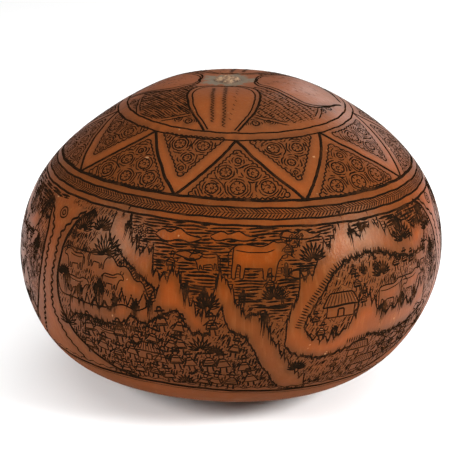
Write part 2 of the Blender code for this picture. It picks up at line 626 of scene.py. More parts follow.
def cow(width=0.65):
    """A standing cow: one outline, a line along the back, horns, an eye and a tail."""
    body = np.array(COW_OUTLINE)
    motif = Motif(body)
    motif.loop(body, width)
    motif.add(curve_through([(4.9, 5.2), (4.4, 6.2), (5.0, 7.0)]), width)
    motif.add(curve_through([(5.6, 5.0), (6.4, 5.8), (6.4, 6.6)]), width)
    motif.add(curve_through([(-5.2, 3.6), (-6.3, 2.0), (-6.1, -0.6)]), width)
    motif.add(curve_through([(-4.8, 3.0), (-2.0, 2.7), (1.2, 2.9), (3.4, 3.6)]), width * 0.8)
    motif.add([(5.9, 4.1), (6.2, 3.9)], width * 1.2)
    return motif


def villager(width=0.62, stripes=3, arms=1.0):
    """A small stylised figure: brimmed hat, round head, striped poncho, arms and two legs."""
    poncho = [(-0.8, 4.6), (0.8, 4.6), (2.1, 1.4), (-2.1, 1.4)]
    left = np.array([(-1.3, -1.0), (-2.1, 1.4), (-0.8, 4.6), (-1.8, 6.2)])
    motif = Motif(np.concatenate([left, [(0.0, 7.6)], left[::-1] * [-1.0, 1.0]]))
    motif.loop(poncho, width)
    motif.add(circle(0.0, 5.4, 0.75, 9), width * 0.8, tapered=False)
    motif.add([(-1.8, 6.15), (1.8, 6.15)], width * 1.6)
    motif.add([(-0.8, 6.3), (-0.5, 7.4), (0.5, 7.4), (0.8, 6.3)], width * 1.4)
    for share in np.linspace(0.3, 0.85, stripes):
        half = 0.8 + 1.3 * share
        level = 4.6 - 3.2 * share
        motif.add([(-half, level), (half, level)], width)
    for side in (-1.0, 1.0):
        motif.add([(side * 0.9, 4.2), (side * 2.2, 3.1), (side * 2.9, 3.1 + 1.3 * arms * side)], width)
        motif.add([(side * 0.8, 1.4), (side * 0.9, -0.6), (side * 1.5, -0.8)], width * 1.3)
    return motif


def hut(width=0.65):
    """A small thatched hut: a wall with a door, and a long roof with its thatch."""
    wall = [(-4.0, 0.0), (-4.0, 3.2), (4.0, 3.2), (4.0, 0.0)]
    roof = [(-5.2, 3.0), (-3.2, 6.6), (3.2, 6.6), (5.2, 3.0)]
    motif = Motif(np.array([(-4.0, 0.0), (-4.0, 3.0)] + roof + [(4.0, 3.0), (4.0, 0.0)]))
    motif.loop(wall, width)
    motif.loop(roof, width * 1.2)
    for share in np.linspace(0.08, 0.92, 9):
        motif.add([(-3.2 + 6.4 * share, 6.4), (-5.0 + 10.0 * share, 3.2)], width * 0.7)
    motif.add([(-0.9, 0.0), (-0.9, 2.2), (0.9, 2.2), (0.9, 0.0)], width * 1.4, tapered=False)
    return motif


def tree(width=0.65, seed=1):
    """A round-crowned tree: a forked trunk under a crown of small loops set in rings."""
    crown = [(-3.4, 4.0), (-2.6, 7.6), (0.0, 9.2), (2.6, 7.6), (3.4, 4.0)]
    motif = Motif(np.array(crown + [(0.6, 3.0), (0.5, 0.0), (-0.5, 0.0), (-0.6, 3.0)]))
    rng = np.random.default_rng(seed)
    motif.add([(-0.5, 0.0), (-0.4, 2.8), (-1.6, 4.6)], width * 1.3)
    motif.add([(0.5, 0.0), (0.4, 2.8), (1.6, 4.6)], width * 1.3)
    for ring, count in ((0.9, 4), (2.6, 9)):
        for step in range(count):
            around = TAU * step / count + rng.uniform(-0.2, 0.2)
            x, y = ring * 1.1 * math.cos(around), 5.9 + ring * math.sin(around)
            motif.add(circle(x, y, 0.75, 7), width * 0.9, tapered=False)
    return motif


def cactus(width=0.65):
    """A branching cactus: three upright fingers, each a long loop with a middle line."""
    motif = Motif(np.array([(-2.8, 0.0), (-2.8, 6.0), (0.0, 8.4), (2.8, 6.0), (2.8, 0.0)]))
    for x, foot, top in ((0.0, 0.0, 8.0), (-2.0, 2.4, 6.0), (2.0, 1.8, 5.4)):
        loop = [(x - 0.6, foot), (x - 0.7, top - 0.8), (x, top), (x + 0.7, top - 0.8), (x + 0.6, foot)]
        motif.add(curve_through(loop), width)
        motif.add([(x, foot + 0.3), (x, top - 0.9)], width * 0.7)
    motif.add([(-2.0, 2.4), (-0.5, 1.6)], width * 1.3)
    motif.add([(2.0, 1.8), (0.5, 1.0)], width * 1.3)
    return motif


# ---------------------------------------------------------------- crown: petals round the stem

# One side of a petal from its root to its tip, as (share of its half width, way out from the stem in
# millimetres).
BROAD_PETAL = [
    (0.30, 12.0), (0.60, 13.2), (0.88, 17.0), (1.00, 24.0), (0.90, 35.5), (0.69, 43.0), (0.47, 50.0),
]
WIDE_PETAL = [
    (0.22, 12.0), (0.48, 14.0), (0.62, 18.5), (0.96, 28.5), (1.00, 35.0), (0.72, 42.0), (0.10, 49.0),
]
SLIM_PETAL = [(0.35, 12.0), (0.66, 14.0), (0.99, 21.5), (0.87, 30.0), (0.47, 40.0), (0.16, 49.0)]
# The petals: the turn they point to, half their width, their side, and whether they are ribbed.
PETALS = [
    (-6.5, 15.6, BROAD_PETAL, True),
    (84.0, 21.0, WIDE_PETAL, False),
    (172.0, 17.0, SLIM_PETAL, True),
    (-97.0, 15.6, SLIM_PETAL, False),
]
# The two lines of a petal's edge: how far in, and how wide.
PETAL_EDGES = [(0.0, 1.3), (2.2, 0.9)]
PETAL_END = 50.0
PETAL_RIBS = [((-4.4, 16.0), (-4.2, 45.0)), ((0.9, 14.5), (0.9, 48.0))]
RIB_POINTS = 34
RIB_SWING = 0.85
PETAL_DASHES = 40
# The space between two petals and a corner of it, as (degrees from its middle, way out in millimetres).
GORE_BASKET = [
    (-7, 48.6), (-25, 42.0), (-40, 38), (-30, 26), (-14, 18), (14, 18), (30, 26), (40, 38), (25, 42.0),
    (7, 48.6),
]
GORE_CORNER = [(41, 48.8), (27, 42.0), (10, 48.8)]
# Its hatching in every second space and in the others, each a recipe for hatch_all.
GORE_HATCHING = [
    [(1.05, 6.0, 0.80, 16.0, 0.5, 0.2, 0), (1.50, -62.0, 0.55, 4.0, 1.2, 0.0, 20)],
    [(1.15, -10.0, 0.85, 3.0, 0.6, 0.0, 0), (2.60, 80.0, 0.70, 30.0, 0.2, 0.0, 40)],
]
# Rings round the gourd, in millimetres: the mean way down, and how much of the sine and of the cosine of
# the turn is added to it.
PETAL_RINGS = ((49.6, 1.6, 1.8), (54.0, 1.0, 1.5))
PETAL_RING_WIDTHS = (1.15, 1.05)
ROPE_RINGS = ((87.2, 2.2, -1.7), (90.5, 2.3, -1.7), (94.7, 2.4, -1.3), (97.9, 2.6, -1.6))
ROPE_RING_WIDTHS = (1.5, 1.1, 1.1, 1.2)
FULL_ROUND = np.linspace(-180.0, 180.0, 361)


def ring_down(ring, turn):
    """How far down a hand-drawn ring lies: its mean, and a tilt as a sine and a cosine of the turn."""
    mean, right, front = ring
    angle = np.radians(turn)
    return mean + right * np.sin(angle) + front * np.cos(angle)


def draw_ring(pen, ring, width):
    """One burnt line all the way round."""
    pen.line(np.stack([FULL_ROUND, ring_down(ring, FULL_ROUND)], axis=1), width, tapered=False)


def crown_place(turn):
    """The flat drawing of the crown seen from above, turned so that y points out at `turn`."""

    def place(path):
        """Points of the drawing on the skin: their bearing is the turn and their distance the way down."""
        path = np.asarray(path, float)
        angle = np.degrees(np.arctan2(path[:, 0], path[:, 1]))
        return np.stack([turn + angle, np.hypot(path[:, 0], path[:, 1])], axis=1)

    return place


def polar(points):
    """Points given as (degrees, way out), as a flat drawing whose y points out at no degrees."""
    points = np.asarray(points, float)
    angle = np.radians(points[:, 0])
    return np.stack([points[:, 1] * np.sin(angle), points[:, 1] * np.cos(angle)], axis=1)


def petal_side(half_width, shape, inset=0.0):
    """One side of a petal from its root to its tip, as a smooth curve through its shape."""
    shape = np.array(shape)
    side = curve_through(np.stack([shape[:, 0] * half_width, shape[:, 1]], axis=1))
    if inset > 0.0:
        side[:, 0] -= inset
        side[:, 1] += inset * 0.35
        side = side[(side[:, 0] > 0.3) & (side[:, 1] < PETAL_END)]
    return side


def draw_petal(pen, turn, half_width, shape, ribbed):
    """A petal with a double outline. A ribbed one has two zigzag ribs and a row of ticks, the others have
    scattered dashes. Returns its bare shape on the skin."""
    place = crown_place(turn)
    for inset, width in PETAL_EDGES:
        side = petal_side(half_width, shape, inset)
        for hand in (-1.0, 1.0):
            pen.line(place(side * [hand, 1.0]), width, tapered=False)
        top = curve_through([side[0] * [-1.0, 1.0], [0.0, side[0][1] + 0.3], side[0]])
        pen.line(place(top), width)
    rng = np.random.default_rng(int(turn + 400))
    if ribbed:
        for root, tip in PETAL_RIBS:
            share = np.linspace(0.0, 1.0, RIB_POINTS)[:, None]
            rib = np.array(root) * (1.0 - share) + np.array(tip) * share
            rib[:, 0] += np.where(np.arange(len(rib)) % 2 == 0, -RIB_SWING, RIB_SWING)
            pen.line(place(rib), 0.55, step=0.8)
        for y in np.arange(17.0, 44.0, 3.2):
            x = 7.4 - 0.09 * y + rng.uniform(-0.5, 0.5)
            pen.line(place([(x, y), (x + 0.8, y + 0.8)]), 0.95)
    else:
        for _ in range(PETAL_DASHES):
            y = rng.uniform(16.0, 38.0)
            x = rng.uniform(-0.7, 0.7) * half_width * (1.0 - (y - 16.0) / 44.0)
            pen.line(place([(x, y), (x + rng.uniform(-1.2, 1.2), y + 1.1)]), 0.6)
    side = petal_side(half_width, shape)
    return place(np.concatenate([side * [-1.0, 1.0], side[::-1]]))


def draw_gore(pen, turn, bare, seed):
    """The space between two petals: basket rows up to the ring, and a leafy corner behind a double line
    next to each petal."""
    place = crown_place(turn)
    hatch_all(pen, polar(GORE_BASKET), place, bare, GORE_HATCHING[seed % 2], seed)
    for hand in (-1.0, 1.0):
        corner = polar(GORE_CORNER) * [hand, 1.0]
        for lift in (0.0, 1.5):
            edge = even_path(place(corner[1:] + [-hand * 0.6 * lift, -lift]), 0.8)[0]
            mask = clear_of(edge, bare) & (edge[:, 1] < 50.5)
            for start, end in zip(*runs(mask)):
                if end - start > 1:
                    pen.line(edge[start:end], 0.8)
        middle = corner.mean(axis=0)
        circles = [(middle[0] + hand * 0.8, middle[1] + 0.1, 1.6),
                   (middle[0] - hand * 4.6, middle[1] + 1.9, 0.9)]
        for x, y, size in circles:
            spot = place([(x, y)])[0]
            set_down(pen, rosette(size), spot[0], spot[1])
        arcs(pen, corner, place, circles, 1.0, 0.6, bare, seed + 90)


def draw_crown(pen):
    """Petals, the spaces between them, and the first double ring."""
    bare = [draw_petal(pen, *petal) for petal in PETALS]
    bare = shifted_copies(bare)
    turns = [petal[0] for petal in PETALS]
    for count, turn in enumerate(turns):
        gap = (turns[(count + 1) % len(turns)] - turn) % 360.0
        draw_gore(pen, turn + 0.5 * gap, bare, count + 1)
    for ring, width in zip(PETAL_RINGS, PETAL_RING_WIDTHS):
        draw_ring(pen, ring, width)


def shifted_copies(bare):
    """The bare shapes and the same ones a whole round to either side, so that tests work at the back."""
    return [outline + [shift, 0.0] for outline in bare for shift in (-360.0, 0.0, 360.0)]


# ---------------------------------------------------------------- shoulder: triangles

TOOTH_COUNT = 9
TOOTH_START = 0.8
TOOTH_DOTS = 18
ZIGZAG_MARGIN = 0.2
ZIGZAG_WIDTH = 1.65
# A tooth that points up, in millimetres from the middle of its base: its corners and its rosettes.
TOOTH_UP = [(-20.5, 1.2), (20.5, 1.2), (0.0, 24.5)]
UP_ROSETTES = [
    (-11.6, 5.0, 2.9), (0.4, 4.9, 3.2), (11.4, 5.2, 2.9), (-4.4, 12.4, 2.8), (5.6, 12.6, 2.4),
    (0.2, 18.4, 1.6),
]
# A tooth that points down, in millimetres from its lower corner.
TOOTH_DOWN = [(-13.4, 30.0), (0.0, 9.0), (13.4, 30.0)]
DOWN_ROSETTES = [(-5.4, 25.4, 3.0), (5.6, 25.0, 2.6), (-0.2, 18.0, 2.3), (0.0, 13.0, 1.1)]


def rosette(size, width=0.72):
    """A ring with a small spiral inside and short spokes between the two."""
    motif = Motif()
    motif.add(circle(0.0, 0.0, size, max(9, int(size * 5))), width * 1.1, tapered=False)
    share = np.linspace(0.1, 1.0, 14)
    reach = 0.42 * size * share
    motif.add(np.stack([reach * np.cos(share * 9.0), reach * np.sin(share * 9.0)], axis=1), width)
    for spoke in np.linspace(0.0, TAU, 7, endpoint=False):
        way = np.array([math.cos(spoke), math.sin(spoke)])
        motif.add([way * size * 0.60, way * size * 0.92], width * 0.9, tapered=False)
    return motif


def draw_tooth(pen, turn, foot, corners, middles, seed):
    """One tooth of the zigzag: a scalloped outline round rosettes in ruffled arcs, and a few dots."""
    rng = np.random.default_rng(seed)

    def place(path):
        """Points of the tooth on the skin, upright over its foot."""
        path = np.asarray(path, float)
        down = foot - path[:, 1]
        return np.stack([turn + path[:, 0] / degree_mm(down, 1.0), down], axis=1)

    corners = np.array(corners)
    sides = np.concatenate([corners, corners[:1]])
    edge = np.concatenate([scalloped(sides[k:k + 2], 2.3, -0.75) for k in range(3)])
    pen.line(place(edge), 0.85, tapered=False, step=0.7)
    moved = [(x + rng.uniform(-0.9, 0.9), y + rng.uniform(-0.7, 0.7), size * rng.uniform(0.8, 1.08))
             for x, y, size in middles]
    for x, y, size in moved:
        spot = place([(x, y)])[0]
        set_down(pen, rosette(size), spot[0], spot[1], tilt=rng.uniform(0, 360))
    arcs(pen, corners, place, moved, 1.15, 0.78, [], seed + 7)
    for _ in range(TOOTH_DOTS):
        mix = rng.dirichlet((0.7, 0.7, 0.7)) @ corners
        spot = place(mix[None])[0]
        pen.line([spot, spot + [rng.uniform(-0.8, 0.8), rng.uniform(-1.2, 1.2)]], 1.5)


def draw_shoulder(pen, lines):
    """The nine teeth up and nine down, and the zigzag line in the bare strip between them."""
    step = 360.0 / TOOTH_COUNT
    corners = []
    for count in range(TOOTH_COUNT):
        peak = TOOTH_START + count * step
        low = peak + 0.5 * step
        draw_tooth(pen, peak, ring_down(ROPE_RINGS[0], peak), TOOTH_UP, UP_ROSETTES, 100 + count)
        draw_tooth(pen, low, ring_down(ROPE_RINGS[0], low), TOOTH_DOWN, DOWN_ROSETTES, 200 + count)
        corners += [(peak, 0), (low, 1)]
    corners.append((TOOTH_START + 360.0, 0))
    ends = []
    for turn, is_low in corners:
        lower = ring_down(ROPE_RINGS[0], turn) + ZIGZAG_MARGIN
        ends.append((turn, lower if is_low else ring_down(PETAL_RINGS[1], turn) - ZIGZAG_MARGIN))
    for pair in zip(ends[:-1], ends[1:]):
        lines.line(pair, ZIGZAG_WIDTH, tapered=False)


# ---------------------------------------------------------------- the rope band

ROPE_PITCH = 1.45
ROPE_LEAN = 1.5
ROPE_MARGIN = 0.3
ROPE_MIDDLE = 92.0


def draw_rope(pen):
    """Four rings, and slanted ticks between the middle two that turn back at a middle line."""
    for ring, width in zip(ROPE_RINGS, ROPE_RING_WIDTHS):
        draw_ring(pen, ring, width)
    rng = np.random.default_rng(31)
    upper, lower = ROPE_RINGS[1], ROPE_RINGS[2]
    for turn in np.arange(-180.0, 180.0, ROPE_PITCH * 360.0 / (TAU * radius_mm(ROPE_MIDDLE))):
        turn = turn + rng.uniform(-0.12, 0.12)
        high = ring_down(upper, turn) + ROPE_MARGIN
        low = ring_down(lower, turn) - ROPE_MARGIN
        middle = 0.5 * (high + low)
        pen.line([(turn, high), (turn + ROPE_LEAN, middle)], 0.75)
        pen.line([(turn + ROPE_LEAN, middle), (turn, low)], 0.75)
    middle = 0.5 * (ring_down(upper, FULL_ROUND) + ring_down(lower, FULL_ROUND))
    pen.line(np.stack([FULL_ROUND + ROPE_LEAN, middle], axis=1), 0.3, tapered=False)


# ---------------------------------------------------------------- the belt: three panels of country life

# The panels: the turn of the middle, the share of the front panel's width, and whether it is mirrored.
PANELS = [(7.5, 1.0, 1.0), (129.0, 0.925, -1.0), (-114.0, 0.925, 1.0)]
# The bare bands between panels: the turns of their middles.
BANDS = [-55.5, 70.8, 187.5]
# Half of a panel's border, as (degrees from its middle, down), from the top left round to the lower left.
PANEL_LEFT = [(-52.0, 98.5), (-56.0, 104.0), (-58.3, 114.0), (-58.8, 128.0), (-57.6, 140.0), (-54.0, 151.0),
              (-48.5, 159.5), (-41.0, 167.0), (-33.0, 171.5)]
PANEL_MIDDLE = 7.5
# The lower border, as a ring.
BASE_LINE = (173.5, 3.0, -1.0)


def base_down(turn):
    """How far down the lower border lies, deepest on the right side."""
    return ring_down(BASE_LINE, turn)


def in_panel(shape, panel):
    """A shape drawn for the front panel, moved to a panel: narrowed, and mirrored if the panel is."""
    middle, share, hand = panel
    shape = np.asarray(shape, float)
    return (shape - [PANEL_MIDDLE, 0.0]) * [share * hand, 1.0] + [middle, 0.0]


def panel_outline(panel):
    """The two sides of a panel's border: the left one going down and the right one going up."""
    middle, share, _ = panel
    left = curve_through(np.array(PANEL_LEFT) * [share, 1.0], per_span=5)
    return left + [middle, 0.0], left[::-1] * [-1.0, 1.0] + [middle, 0.0]


# What follows is drawn for the front panel, and in_panel moves it to the others.
# Bare slopes and ridges, as closed outlines of (turn, down).
FRONT_BARE = [
    # tall slope at the upper left, running down to the middle of the scene
    [(-36, 98), (-31, 97), (-30, 103), (-28, 109), (-25, 112), (-24, 109), (-22, 111), (-21, 118),
     (-17, 121), (-16, 116), (-14, 120), (-13, 126), (-9, 134), (-6, 133), (-4, 117), (-2, 119),
     (0, 127), (3, 134), (6, 132), (8, 136), (9, 142), (12, 150), (15, 157), (19, 166), (22, 172),
     (14, 171), (11, 163), (7, 153), (4, 142), (-1, 138), (-3, 128), (-6, 140), (-10, 140), (-14, 131),
     (-18, 134), (-22, 139), (-26, 136), (-30, 142), (-38, 141), (-46, 142), (-45, 137), (-38, 137),
     (-32, 137), (-29, 130), (-27, 134), (-24, 131), (-20, 130), (-19, 124), (-24, 119), (-30, 113),
     (-33, 109), (-36, 106)],
    # great slope at the upper right with its arm down to the valley floor
    [(28, 99), (31, 100), (32, 105), (34, 106), (35, 103), (39, 102), (42, 106), (46, 111), (52, 113),
     (56, 107), (60, 110), (57, 117), (50, 118), (44, 116), (40, 112), (34, 111), (28, 112), (24, 118),
     (21, 126), (18, 133), (17, 140), (20, 146), (24, 148), (28, 144), (31, 138), (32, 128), (34, 130),
     (37, 137), (41, 140), (45, 139), (52, 141), (54, 134), (57, 137), (58, 144), (50, 149), (42, 149),
     (36, 147), (31, 151), (24, 154), (17, 152), (13, 146), (13, 138), (15, 128), (16, 120), (19, 119),
     (21, 111), (25, 106)],
    # small slope under the herd at the right
    [(52, 152), (58, 150), (60, 156), (54, 160), (50, 157)],
]

# Smooth bare shapes: a meadow, clouds, and a field low at the right.
SMOOTH_BARE = [
    # meadow of the herd at the upper left
    [(-51, 117), (-43, 115), (-34, 114), (-31, 117.5), (-28.5, 117), (-25.5, 122), (-23.5, 122),
     (-22, 127), (-21, 130), (-24, 134), (-29, 133), (-33, 135.5), (-39, 136), (-45, 135.5), (-50, 134)],
    [(-22, 102), (-20, 99.5), (-18, 101), (-15.5, 98.8), (-13, 101), (-9, 102), (-12, 104),
     (-15, 103.2), (-19, 104.5)],
    [(-7, 101), (-4, 98.8), (-2, 100.2), (0.5, 98.6), (3, 100.5), (6, 101), (2, 102.5), (-2, 101.8),
     (-5, 103)],
    [(11, 101), (13, 99), (15.5, 100), (18, 98.6), (20, 100.5), (23, 101), (19, 102.8), (15, 102)],
    [(-16, 109), (-13, 107.5), (-11, 108.6), (-8.5, 107.6), (-9, 110), (-12, 110.6)],
    [(13, 116), (15, 114.5), (17, 115.5), (18.5, 114.8), (18, 117.4), (15, 118)],
    [(45, 157), (52, 154), (58, 155), (52, 159), (46, 162)],
]
# The parts of a panel with the shading of the sky and of the crowds' ground. The rest is land.
SKY = [
    (-30, 95), (70, 95), (70, 104), (26, 112), (19, 120), (11, 136), (3, 127), (-8, 134), (-16, 120),
    (-30, 106),
]
CROWD_GROUND = [(-50, 142), (-20, 138), (10, 142), (20, 168), (44, 150), (70, 150), (70, 184), (-50, 184)]
# Crowds: first and last turn, and the ways down of their first row and their end.
CROWDS = [(-47, 7, 150, 180), (42, 64, 156, 180), (-22, -2, 142, 150)]
# Extra dark grounds behind plants and under the herds.
DARK_GROUNDS = [
    [(-51, 123), (-47, 122), (-44, 124.5), (-40, 121), (-36, 123), (-34, 128), (-30, 127), (-27, 129.5),
     (-30, 133.5), (-34, 130), (-38, 134), (-42, 128.5), (-46, 134), (-50, 130)],
    [(-50, 113), (-46, 110.5), (-43, 112.5), (-40, 110), (-38, 113.5), (-42, 116), (-47, 117), (-51, 118)],
    [(37, 124), (42, 123), (46, 126), (52, 124.5), (57, 126), (57, 131), (53, 128.5), (48, 131),
     (44, 128), (39, 129)],
    [(-51, 103), (-46, 98), (-37, 97), (-36, 105), (-42, 111), (-50, 112)],
    [(44, 98), (60, 98), (66, 108), (60, 112), (50, 108), (45, 104)],
    [(58, 118), (66, 116), (66, 134), (60, 138), (58, 128)],
]
# Paths with a row of short strokes along their upper side.
FRINGES = [
    [(-33.5, 114), (-31, 117.5), (-28.5, 117), (-25.5, 122), (-23.5, 122), (-22, 127), (-21, 130)],
    [(16.5, 139), (18.5, 131), (22, 123), (25.5, 116.5), (30, 113.5), (36, 113), (41, 115), (45, 119)],
    [(-46, 146), (-38, 145), (-30, 146), (-22, 143)],
    [(30, 150), (36, 149.5), (43, 151.5), (52, 151)],
]
# Dark pointed patches that hang down: (turn, down, width, length).
DARK_TIPS = [
    (-47.5, 128, 4.5, 11), (-42.5, 131, 3.5, 8), (-36.0, 129, 6.0, 13), (-31.0, 132, 3.0, 8),
    (-25.0, 133, 4.0, 9), (-21.0, 131, 3.0, 10), (-31.0, 101, 2.0, 8), (-12.0, 123, 3.0, 10),
    (-7.5, 126, 4.5, 13), (2.0, 125, 3.0, 10), (7.5, 134, 4.0, 11), (31.0, 103, 2.2, 9),
    (34.5, 101, 2.0, 7), (39.5, 137, 4.5, 9), (46.0, 136, 4.0, 9), (51.5, 136, 3.0, 8),
    (60.0, 104, 6.0, 10), (61.5, 122, 6.0, 16), (25.5, 142, 3.0, 7), (48.0, 104, 7.0, 7),
    (-44.0, 100, 6.0, 8),
]

# Motifs as (turn, down, size). A cow also has the side it faces, and an agave's size is its reach in
# millimetres.
FRONT_COWS = [
    (-45.5, 120.5, 0.95, -1), (-37.5, 117.5, 0.9, 1), (-32.5, 125.0, 0.85, 1), (-43.5, 130.5, 0.95, 1),
    (-7.5, 112.0, 0.9, -1), (5.5, 112.5, 1.9, 1), (42.0, 133.0, 1.35, 1), (49.5, 131.5, 1.2, 1),
    (56.0, 122.5, 1.05, 1), (-34.0, 150.0, 0.9, -1), (57.0, 147.0, 0.8, -1),
]
FRONT_AGAVES = [
    (-35.5, 114.5, 9.5), (-45.5, 107.0, 7.5), (19.5, 111.5, 7.5), (-39.0, 105.0, 6.5),
    (48.5, 111.5, 8.0), (61.5, 112.0, 7.0), (-6.5, 130.0, 7.0), (17.5, 160.0, 5.5), (38.5, 122.5, 6.5),
    (9.5, 126.0, 6.5), (-49.0, 127.5, 5.0),
]
FRONT_TREES = [
    (-26.5, 107.5, 0.9), (16.0, 106.0, 0.75), (60.5, 134.0, 1.1), (11.5, 128.0, 0.8), (46.0, 164.0, 0.9),
]
FRONT_HUTS = [(26.5, 136.0, 1.55), (-21.5, 157.0, 1.3), (38.0, 168.0, 1.3), (34.0, 157.5, 1.1)]
FRONT_CACTI = [(-48.0, 112.5, 0.8), (12.5, 118.0, 0.8), (33.0, 121.0, 0.7), (64.0, 124.0, 0.9)]
FRONT_FOLK = [
    (44.0, 122.0, 0.95), (47.5, 121.5, 0.9), (50.5, 122.5, 0.85), (31.0, 126.0, 0.9),
    (33.0, 133.0, 0.8), (8.5, 122.5, 0.95), (13.5, 109.0, 1.0), (-16.5, 115.5, 1.0),
    (22.0, 144.5, 0.95), (20.0, 138.0, 0.8), (30.0, 120.5, 0.7), (37.0, 119.5, 0.7), (57.0, 121.0, 0.8),
    (28.0, 163.0, 0.8),
]


# Recipes for hatch_all: extra dark grounds, then the three kinds of ground of a panel.
DARK_HATCHING = [(0.95, 75.0, 0.95, 5.0, 0.5, 0.2, 0)]
SKY_HATCHING = [(1.22, 0.0, 1.12, 13.0, 0.7, 0.18, 1)]
CROWD_HATCHING = [(1.00, 70.0, 1.05, 4.5, 0.6, 0.4, 2), (1.60, 8.0, 0.85, 3.0, 1.0, 0.6, 4)]
LAND_HATCHING = [(1.25, 62.0, 0.85, 3.6, 0.8, 0.5, 3), (1.90, -38.0, 0.75, 2.8, 1.3, 0.7, 5)]
PANEL_GROUND = [(-54, 95), (70, 95), (70, 182), (-54, 182)]
GROUNDS = [(SKY, SKY_HATCHING), (CROWD_GROUND, CROWD_HATCHING), (PANEL_GROUND, LAND_HATCHING)]
CROWD_ROW_GAP = 9.4
CROWD_FIGURE_GAP = 4.4


def crowd_rows(rng, first, last, top, foot):
    """Places of a crowd: figures in staggered rows between two turns and two ways down."""
    places = []
    for row, down in enumerate(np.arange(top, foot, CROWD_ROW_GAP)):
        for turn in np.arange(first + 0.5 * CROWD_FIGURE_GAP * (row % 2), last, CROWD_FIGURE_GAP):
            places.append((turn + rng.uniform(-0.9, 0.9), down + rng.uniform(-1.6, 1.6)))
    return places


TICK_LENGTH = 2.8
TICK_PITCH = 1.15
TICK_WIDTH = 0.75


def ticks(pen, path, length, pitch, width):
    """Short strokes square to a path, all to its upper side."""
    even = even_path(path, pitch)[0]
    flat = belt_flat(even)
    ahead = np.gradient(flat, axis=0)
    up = np.stack([-ahead[:, 1], ahead[:, 0]], axis=1)
    up = up * np.sign(up[:, 1:] + 1.0e-6) / np.linalg.norm(up, axis=1, keepdims=True)
    for foot, tip in zip(even, belt_place(flat + length * up)):
        pen.line([foot, tip], width)


# The flames of a slope's edge: step along it, steps in a flame, millimetres it rises, how pointed it is,
# and the share of the rise on the lower side.
JAG_STEP = 0.7
JAG_COUNTS = (3, 8)
JAG_PEAKS = (1.2, 7.0)
JAG_POWER = 1.2
JAG_BELOW = 0.35


def jagged(outline, rng):
    """A slope's outline with flames: along it the edge rises and falls evenly over a few millimetres, far
    up on the upper side and a little down on the lower."""
    even = even_path(np.concatenate([outline, outline[:1]]), JAG_STEP)[0][:-1]
    is_upper = inside(even + [0.0, 1.0], outline)
    lift = np.zeros(len(even))
    place = 0
    while place < len(even):
        count = int(rng.integers(*JAG_COUNTS))
        peak = rng.uniform(*JAG_PEAKS)
        share = np.arange(count) / count
        wave = peak * (1.0 - np.abs(2.0 * share - 1.0)) ** JAG_POWER
        lift[place:place + count] = wave[:len(lift) - place]
        place += count
    even[:, 1] -= np.where(is_upper, lift, -JAG_BELOW * lift)
    return even


DARK_TIP_PITCH = 0.62
DARK_TIP_WIDTH = 1.1


def dark_tip(pen, turn, down, width, length, rng):
    """A dark pointed patch: upright strokes whose reach falls off evenly from the middle one."""
    for across in np.arange(-0.5 * width, 0.5 * width + 0.1, DARK_TIP_PITCH):
        fall = 1.0 - abs(across) / (0.5 * width + 0.35)
        reach = length * fall * rng.uniform(0.8, 1.0)
        start = (turn + across / BELT_SCALE[0], down - 0.4 * length * fall)
        end = (turn + across / BELT_SCALE[0] + rng.uniform(-0.2, 0.2), down + reach)
        pen.spike(start, end, DARK_TIP_WIDTH)


# The fringe under and over a slope: strokes this far apart, in bunches of these lengths along the edge
# that reach these shares of the full length. Stretches steeper than the last value get no strokes.
FRINGE_PITCH = 0.75
FRINGE_FIRST_BUNCH = 4.0
FRINGE_BUNCHES = (2.6, 6.0)
FRINGE_SHARES = (0.3, 1.0)
FRINGE_POWER = 1.3
FRINGE_STEEP = 0.92


def fringe(pen, outline, rng, length, width, upward):
    """Strokes along the upper or lower edge of a bare slope, bunched into dark points: their reach rises
    and falls evenly over a few millimetres."""
    even, _, _ = even_path(np.concatenate([outline, outline[:1]]), FRINGE_PITCH)
    step = np.diff(even, axis=0)
    share, period, peak = 0.0, FRINGE_FIRST_BUNCH, length
    sign = -1.0 if upward else 1.0
    below_bare = inside(even[:-1] + [0.0, 1.2], outline)
    for place, ahead, is_below in zip(even[:-1], step, below_bare):
        share += FRINGE_PITCH / period
        if share >= 1.0:
            share, period = 0.0, rng.uniform(*FRINGE_BUNCHES)
            peak = length * rng.uniform(*FRINGE_SHARES)
        steep = abs(ahead[1]) > FRINGE_STEEP * FRINGE_PITCH
        if is_below == upward or steep:
            continue
        reach = 0.5 + peak * (1.0 - abs(2.0 * share - 1.0)) ** FRINGE_POWER
        start = (place[0], place[1] - sign * 1.0)
        end = (place[0] + rng.uniform(-0.2, 0.2), place[1] + sign * reach)
        pen.spike(start, end, width * rng.uniform(0.8, 1.2))


